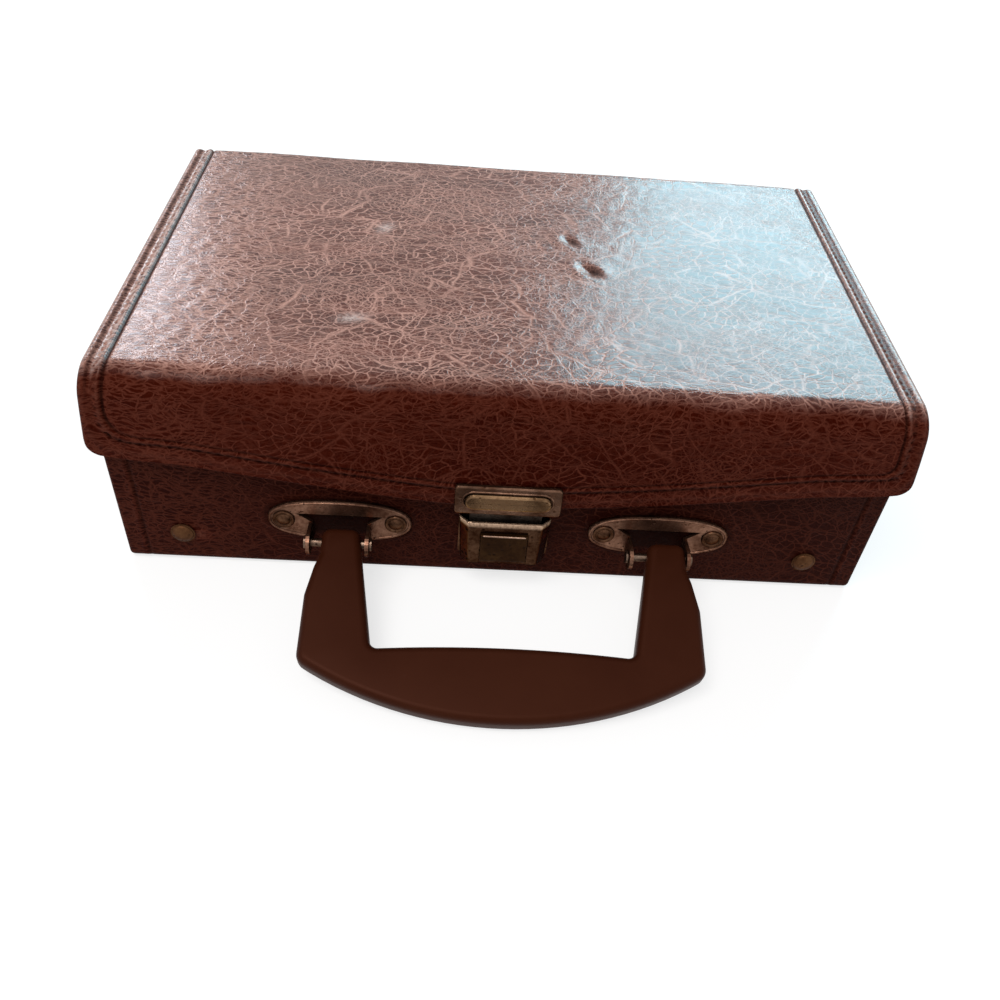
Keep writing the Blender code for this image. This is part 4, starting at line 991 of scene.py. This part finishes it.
def make_hinge_strip(looks):
    """The leatherette strip along the back, from the base to the lid, creased at the rim."""
    half = BASE_HALF - END_ROUND
    z = np.linspace(HINGE_LOW - HINGE_LAP, HINGE_HIGH + HINGE_LAP, 25)
    outer = BASE_BACK - SET_BACK - 0.00025 * hill(z, RIM, 0.0009)
    inner = outer - HINGE_SKIN
    loop = [*zip(outer, z), *zip(inner[::-1], z[::-1])]
    verts, faces = lofted([[(a, b, c) for b, c in loop] for a in np.linspace(-half, half, 120)])
    mesh = sheet(
        "hinge_strip", verts, faces,
        wear=[0.5 - 0.35 * exp(-(((v[2] - RIM) / 0.0008) ** 2)) for v in verts],
        u=[v[0] for v in verts], v=[v[2] - 3 for v in verts],
    )
    strip = shown("hinge_strip", mesh, looks["leather"], sharp=50)
    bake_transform(strip)


# Hardware
def make_latch_trim(looks):
    """The raised lip round the pocket of the latch plate, and a pale bead along the slide's top
    lip that paints its highlight.
    """
    radius = POCKET_HEIGHT / 2 + LIP_RADIUS
    reach = POCKET_LENGTH / 2 + LIP_RADIUS - radius
    path = [
        (LATCH_X + side * reach + a, BASE_FRONT - HASP_FACE + LIP_SUNK, BAR_MIDDLE + b)
        for side in (1, -1)
        for a, b in arc((0, 0), radius, -side * pi / 2, (2 - side) * pi / 2, 14)
    ]
    piece("hasp_lip", *tube(path, LIP_RADIUS, closed=True), looks["plate"], "lid", "nickel")
    ends = np.linspace(-SLIDE_LIP_HALF, SLIDE_LIP_HALF, 24)
    path = [(SLIDE_X + a, BASE_FRONT - SLIDE_LIP_FACE, SLIDE_TOP - SLIDE_LIP)
            for a in ends]
    taper = [1 - 0.6 * abs(a / SLIDE_LIP_HALF) ** 12 for a in ends]
    piece("slide_lip", *tube(path, SLIDE_LIP, taper=taper), looks["bright"], "release", "nickel")


def make_spring(looks):
    """The return spring, a coil of wire that rides on the slide."""
    low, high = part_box("slide_spring")
    middle = (low + high) / 2
    radius = (high.x - low.x) / 2 - SPRING_WIRE
    rise = high.z - low.z - 2 * SPRING_WIRE
    count = SPRING_TURNS * SPRING_STEPS
    path = []
    for i in range(count + 1):
        angle = TURN * SPRING_TURNS * i / count
        path.append((middle.x + radius * cos(angle), middle.y + radius * sin(angle),
                     low.z + SPRING_WIRE + rise * i / count))
    coil = piece("spring_coil", *tube(path, SPRING_WIRE, SPRING_SIDES, axis=middle),
                 looks["steel"], "release", "nickel", "slide_spring", sharp=50)
    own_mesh(coil)


def bracket_outline(x, steps=140):
    """The middle of the rolled rim."""
    outline = []
    power = 2 / BRACKET_POWER
    for i in range(steps):
        angle = TURN * (i + 0.5) / steps
        outline.append([
            middle + (half - RIM_INSET) * copysign(abs(part) ** power, part)
            for middle, half, part in zip((x, BRACKET_Z), BRACKET_HALF, (cos(angle), sin(angle)))
        ])
    return outline


def make_bracket_rims(looks):
    """The rolled rims of the brackets, open where the ears come through."""
    for side, hand in HANDS:
        x = side * BRACKET_X
        outline = bracket_outline(x)
        bottom = min(range(len(outline)),
                     key=lambda i: abs(outline[i][0] - x) + 10 * outline[i][1])
        path = [
            (a, BASE_FRONT - BRACKET_FACE + RIM_SUNK, b)
            for a, b in outline[bottom:] + outline[:bottom]
            if abs(a - x) >= EAR_OUTSIDE or b >= BRACKET_Z
        ]
        piece(f"bracket_rim_{hand}", *tube(path, RIM_RADIUS), looks["nickel"], "base", "nickel")


def stud_profile(steps=12):
    """A domed head with a thin flange, from its seat to its crown."""
    neck = STUD_RADIUS * 0.90
    foot = STUD_FLANGE * 0.6
    top = STUD_SEAT + STUD_FLANGE
    profile = [(STUD_RADIUS, STUD_SEAT), (STUD_RADIUS, top), (neck, top)]
    for i in range(steps + 1):
        angle = pi / 2 * i / steps
        profile.append((max(neck * cos(angle), 1e-5),
                        STUD_SEAT + foot + (STUD_DOME - foot) * sin(angle)))
    return profile


def make_rivets(looks):
    """The heads of the rivets on the brackets, and of the two studs."""
    ringed = [(RIVET_RADIUS * a, BRACKET_FACE + RIVET_RISE * b) for a, b in RIVET_SHARES]
    domed = stud_profile()
    for side, hand in HANDS:
        for place, where in ((-1, "inner"), (1, "outer")):
            x = side * (BRACKET_X + place * RIVET_SPACING / 2)
            piece(f"rivet_head_{hand}_{where}", *turned(ringed, x, BRACKET_Z), looks["rivet"],
                  "base", "nickel", f"rivet_{hand}_{where}", sharp=60)
        piece(f"stud_head_{hand}", *turned(domed, side * STUD_X, STUD_Z), looks["stud"],
              "base", "brass", f"stud_{hand}", sharp=40)


# Handle
def rounded(corners, steps):
    """An outline from (x, reach, radius) corners."""
    outline = []
    for i, (first, second, radius) in enumerate(corners):
        corner = Vector((first, second))
        if radius <= 0:
            outline.append((first, second))
            continue
        before = (Vector(corners[i - 1][:2]) - corner).normalized()
        after = (Vector(corners[(i + 1) % len(corners)][:2]) - corner).normalized()
        half = before.angle(after) / 2
        centre = corner + (before + after).normalized() * radius / sin(half)
        arm = corner + before * radius / tan(half) - centre
        start = atan2(arm.y, arm.x)
        turn = pi - 2 * half
        if before.x * after.y - before.y * after.x > 0:
            turn = -turn
        for step in range(steps + 1):
            angle = start + turn * step / steps
            outline.append((centre.x + radius * cos(angle), centre.y + radius * sin(angle)))
    return outline


def handle_outline():
    outer = LEG_MIDDLE + NECK_HALF
    inner = LEG_MIDDLE - NECK_HALF
    sag = HANDLE_REACH - HANDLE_SIDE_END
    radius = (HANDLE_HALF**2 + sag**2) / (2 * sag)
    right = [
        (inner, -NECK_END, NECK_CORNER), (outer, -NECK_END, NECK_CORNER),
        (outer, NECK_LENGTH, 0.0040), (outer + LEG_BULGE, LEG_BULGE_AT, 0.0050),
        (HANDLE_HALF, LEG_FULL_AT, 0.0060), (HANDLE_HALF, HANDLE_SIDE_END, HANDLE_CORNER),
    ]
    grip = []
    for i in range(1, 30):
        x = HANDLE_HALF * (1 - i / 15)
        grip.append((x, HANDLE_REACH - radius + sqrt(radius**2 - x**2), 0))
    low_corner = (OPENING_HALF, OPENING_REACH + OPENING_SAG, OPENING_CORNER)
    opening = [(-half, *rest) for half, *rest in (OPENING_TOP, low_corner)]
    for i in range(1, 20):
        x = OPENING_HALF * (i / 10 - 1)
        share = abs(x) / OPENING_HALF
        opening.append((x, OPENING_REACH + OPENING_SAG * share**2, 0))
    opening += [low_corner, OPENING_TOP]
    left = [(-x, reach, corner) for x, reach, corner in reversed(right)]
    corners = right + grip + left + opening
    return [(x + HANDLE_SHIFT, -reach) for x, reach in rounded(corners, 7)]


def make_handle(looks):
    """The moulded handle, flat in its own plane and let down on its pins."""
    half = HANDLE_THICKNESS / 2
    shape = bmesh.new()
    outline = handle_outline()
    low = [shape.verts.new((x, y, -half)) for x, y in outline]
    high = [shape.verts.new((x, y, half)) for x, y in outline]
    bottom = shape.faces.new(list(reversed(low)))
    top = shape.faces.new(high)
    for i, corner in enumerate(low):
        j = (i + 1) % len(low)
        shape.faces.new((corner, low[j], high[j], high[i]))
    bmesh.ops.recalc_face_normals(shape, faces=shape.faces)
    rims = [*bottom.edges, *top.edges]
    bmesh.ops.bevel(shape, geom=rims, offset=HANDLE_EDGE, segments=6, profile=0.5, affect="EDGES")
    bmesh.ops.triangulate(shape, faces=[f for f in shape.faces if len(f.verts) > 4])
    shape.transform(Matrix.Translation(PIN_AT) @ Matrix.Rotation(HANDLE_DROOP, 4, "X"))
    mesh = bpy.data.meshes.new("handle_grip")
    shape.to_mesh(mesh)
    shape.free()
    grip = shown("handle_grip", mesh, looks["handle"], sharp=35)
    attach(grip, "handle")
    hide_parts("handle")


# Inside
def make_pad(looks):
    """A thin pad glued inside the lid, crowned downwards, with its sides drawn in."""
    low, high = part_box("lid_pad")
    middle = (low + high) / 2
    half = (high - low) / 2
    u, v = np.meshgrid(np.linspace(-1, 1, 73), np.linspace(-1, 1, 49))
    x = middle.x + u * (half.x - PAD_DRAWN * (1 - v**4))
    y = middle.y + v * (half.y - PAD_DRAWN * (1 - u**4))
    edge = np.minimum(half.x * (1 - np.abs(u)), half.y * (1 - np.abs(v)))
    crown = 1 - (1 - np.clip(edge / PAD_EDGE, 0, 1)) ** 2.4
    dimple = PAD_DIMPLE * ripples(x, y, 0.035, 21)
    thickness = (high.z - low.z - PAD_ROOM) * (0.18 + 0.82 * crown) - dimple * crown
    verts = np.vstack([
        np.stack((x, y, level), axis=-1).reshape(-1, 3)
        for level in (high.z - thickness, np.full_like(x, high.z))
    ])
    rows, columns = u.shape
    shift = rows * columns
    faces = grid_faces(rows, columns) + grid_faces(rows, columns, shift)
    index = np.arange(shift).reshape(rows, columns)
    border = [*index[0], *index[1:, -1], *index[-1, -2::-1], *index[-2:0:-1, 0]]
    border = [int(i) for i in border]
    for a, b in zip(border, border[1:] + border[:1]):
        faces.append((a, b, b + shift, a + shift))
    pad = piece("pad_cushion", verts, faces, looks["pad"], "lid", "foam", "lid_pad")


# Stage
def make_camera():
    camera = bpy.data.cameras.new("camera")
    camera.sensor_width = SENSOR
    camera.lens = FOCAL_PIXELS / IMAGE_SIDE * SENSOR
    camera.clip_start, camera.clip_end = CLIP
    forward = Vector(CAMERA_FORWARD).normalized()
    right = Vector(CAMERA_RIGHT)
    right = (right - forward * right.dot(forward)).normalized()
    turn = Matrix((right, right.cross(forward), -forward)).transposed().to_4x4()
    holder = put("camera", camera)
    holder.matrix_world = Matrix.Translation(CAMERA_AT) @ turn
    bpy.context.scene.camera = holder


def make_lamp(name, at, aim, size, power, colour, lean):
    lamp = bpy.data.lights.new(name, "AREA")
    lamp.shape = "RECTANGLE"
    lamp.size, lamp.size_y = size
    lamp.energy = power
    lamp.color = colour
    holder = put(name, lamp)
    holder.location = at
    turn = (Vector(aim) - Vector(at)).to_track_quat("-Z", "Y")
    holder.rotation_euler = (turn @ Quaternion((0, 0, 1), radians(lean))).to_euler()


def make_stage():
    """A plain sky and a pale floor, which seen things show as white."""
    world = bpy.data.worlds.new("plain world")
    world.use_nodes = True
    bpy.context.scene.world = world
    graph = Graph(world.node_tree)
    plain = graph.tree.nodes["Background"]
    graph.feed(plain.inputs["Color"], SKY_COLOUR)
    graph.feed(plain.inputs["Strength"], SKY_STRENGTH)
    white = graph.node("Background", 0, {"Color": (1, 1, 1, 1), "Strength": 1.0})
    graph.feed(graph.tree.nodes["World Output"].inputs["Surface"],
               graph.seen(plain.outputs[0], white))

    material = bpy.data.materials.new("pale floor")
    material.use_nodes = True
    graph = Graph(material.node_tree)
    graph.tree.nodes.remove(graph.tree.nodes["Principled BSDF"])
    place = graph.node("TexCoord", "Object", {})
    reach = graph.node("VectorMath", "Value", {0: place}, operation="LENGTH")
    glow = graph.remap(reach, *SEEN_REACH, *SEEN_GLOW, smooth=True)
    both = graph.node("AddShader", 0, {
        0: graph.node("BsdfDiffuse", 0, {"Color": SEEN_COLOUR}),
        1: graph.node("Emission", 0, {"Strength": glow}),
    })
    floor = graph.node("BsdfDiffuse", 0, {"Color": FLOOR_COLOUR})
    graph.feed(graph.tree.nodes["Material Output"].inputs["Surface"], graph.seen(floor, both))
    mesh = bpy.data.meshes.new("floor")
    corners = ((-1, -1), (1, -1), (1, 1), (-1, 1))
    mesh.from_pydata([(x * FLOOR_HALF, y * FLOOR_HALF, 0) for x, y in corners], [], [(0, 1, 2, 3)])
    mesh.materials.append(material)
    floor = put("floor", mesh)
    floor.location.z = -FLOOR_DROP

    for lamp in LAMPS:
        make_lamp(*lamp)
    bpy.context.scene.view_settings.view_transform = "Standard"


def main():
    looks = make_looks()
    make_camera()
    make_stage()
    for make in (
        make_lid_skin, make_base_skin, make_hinge_strip, make_latch_trim, make_spring,
        make_bracket_rims, make_rivets, make_handle, make_pad,
    ):
        make(looks)
    for look, names in STAYING.items():
        for name in names:
            for place in NODES[name].material_slots:
                place.material = looks[look]


main()
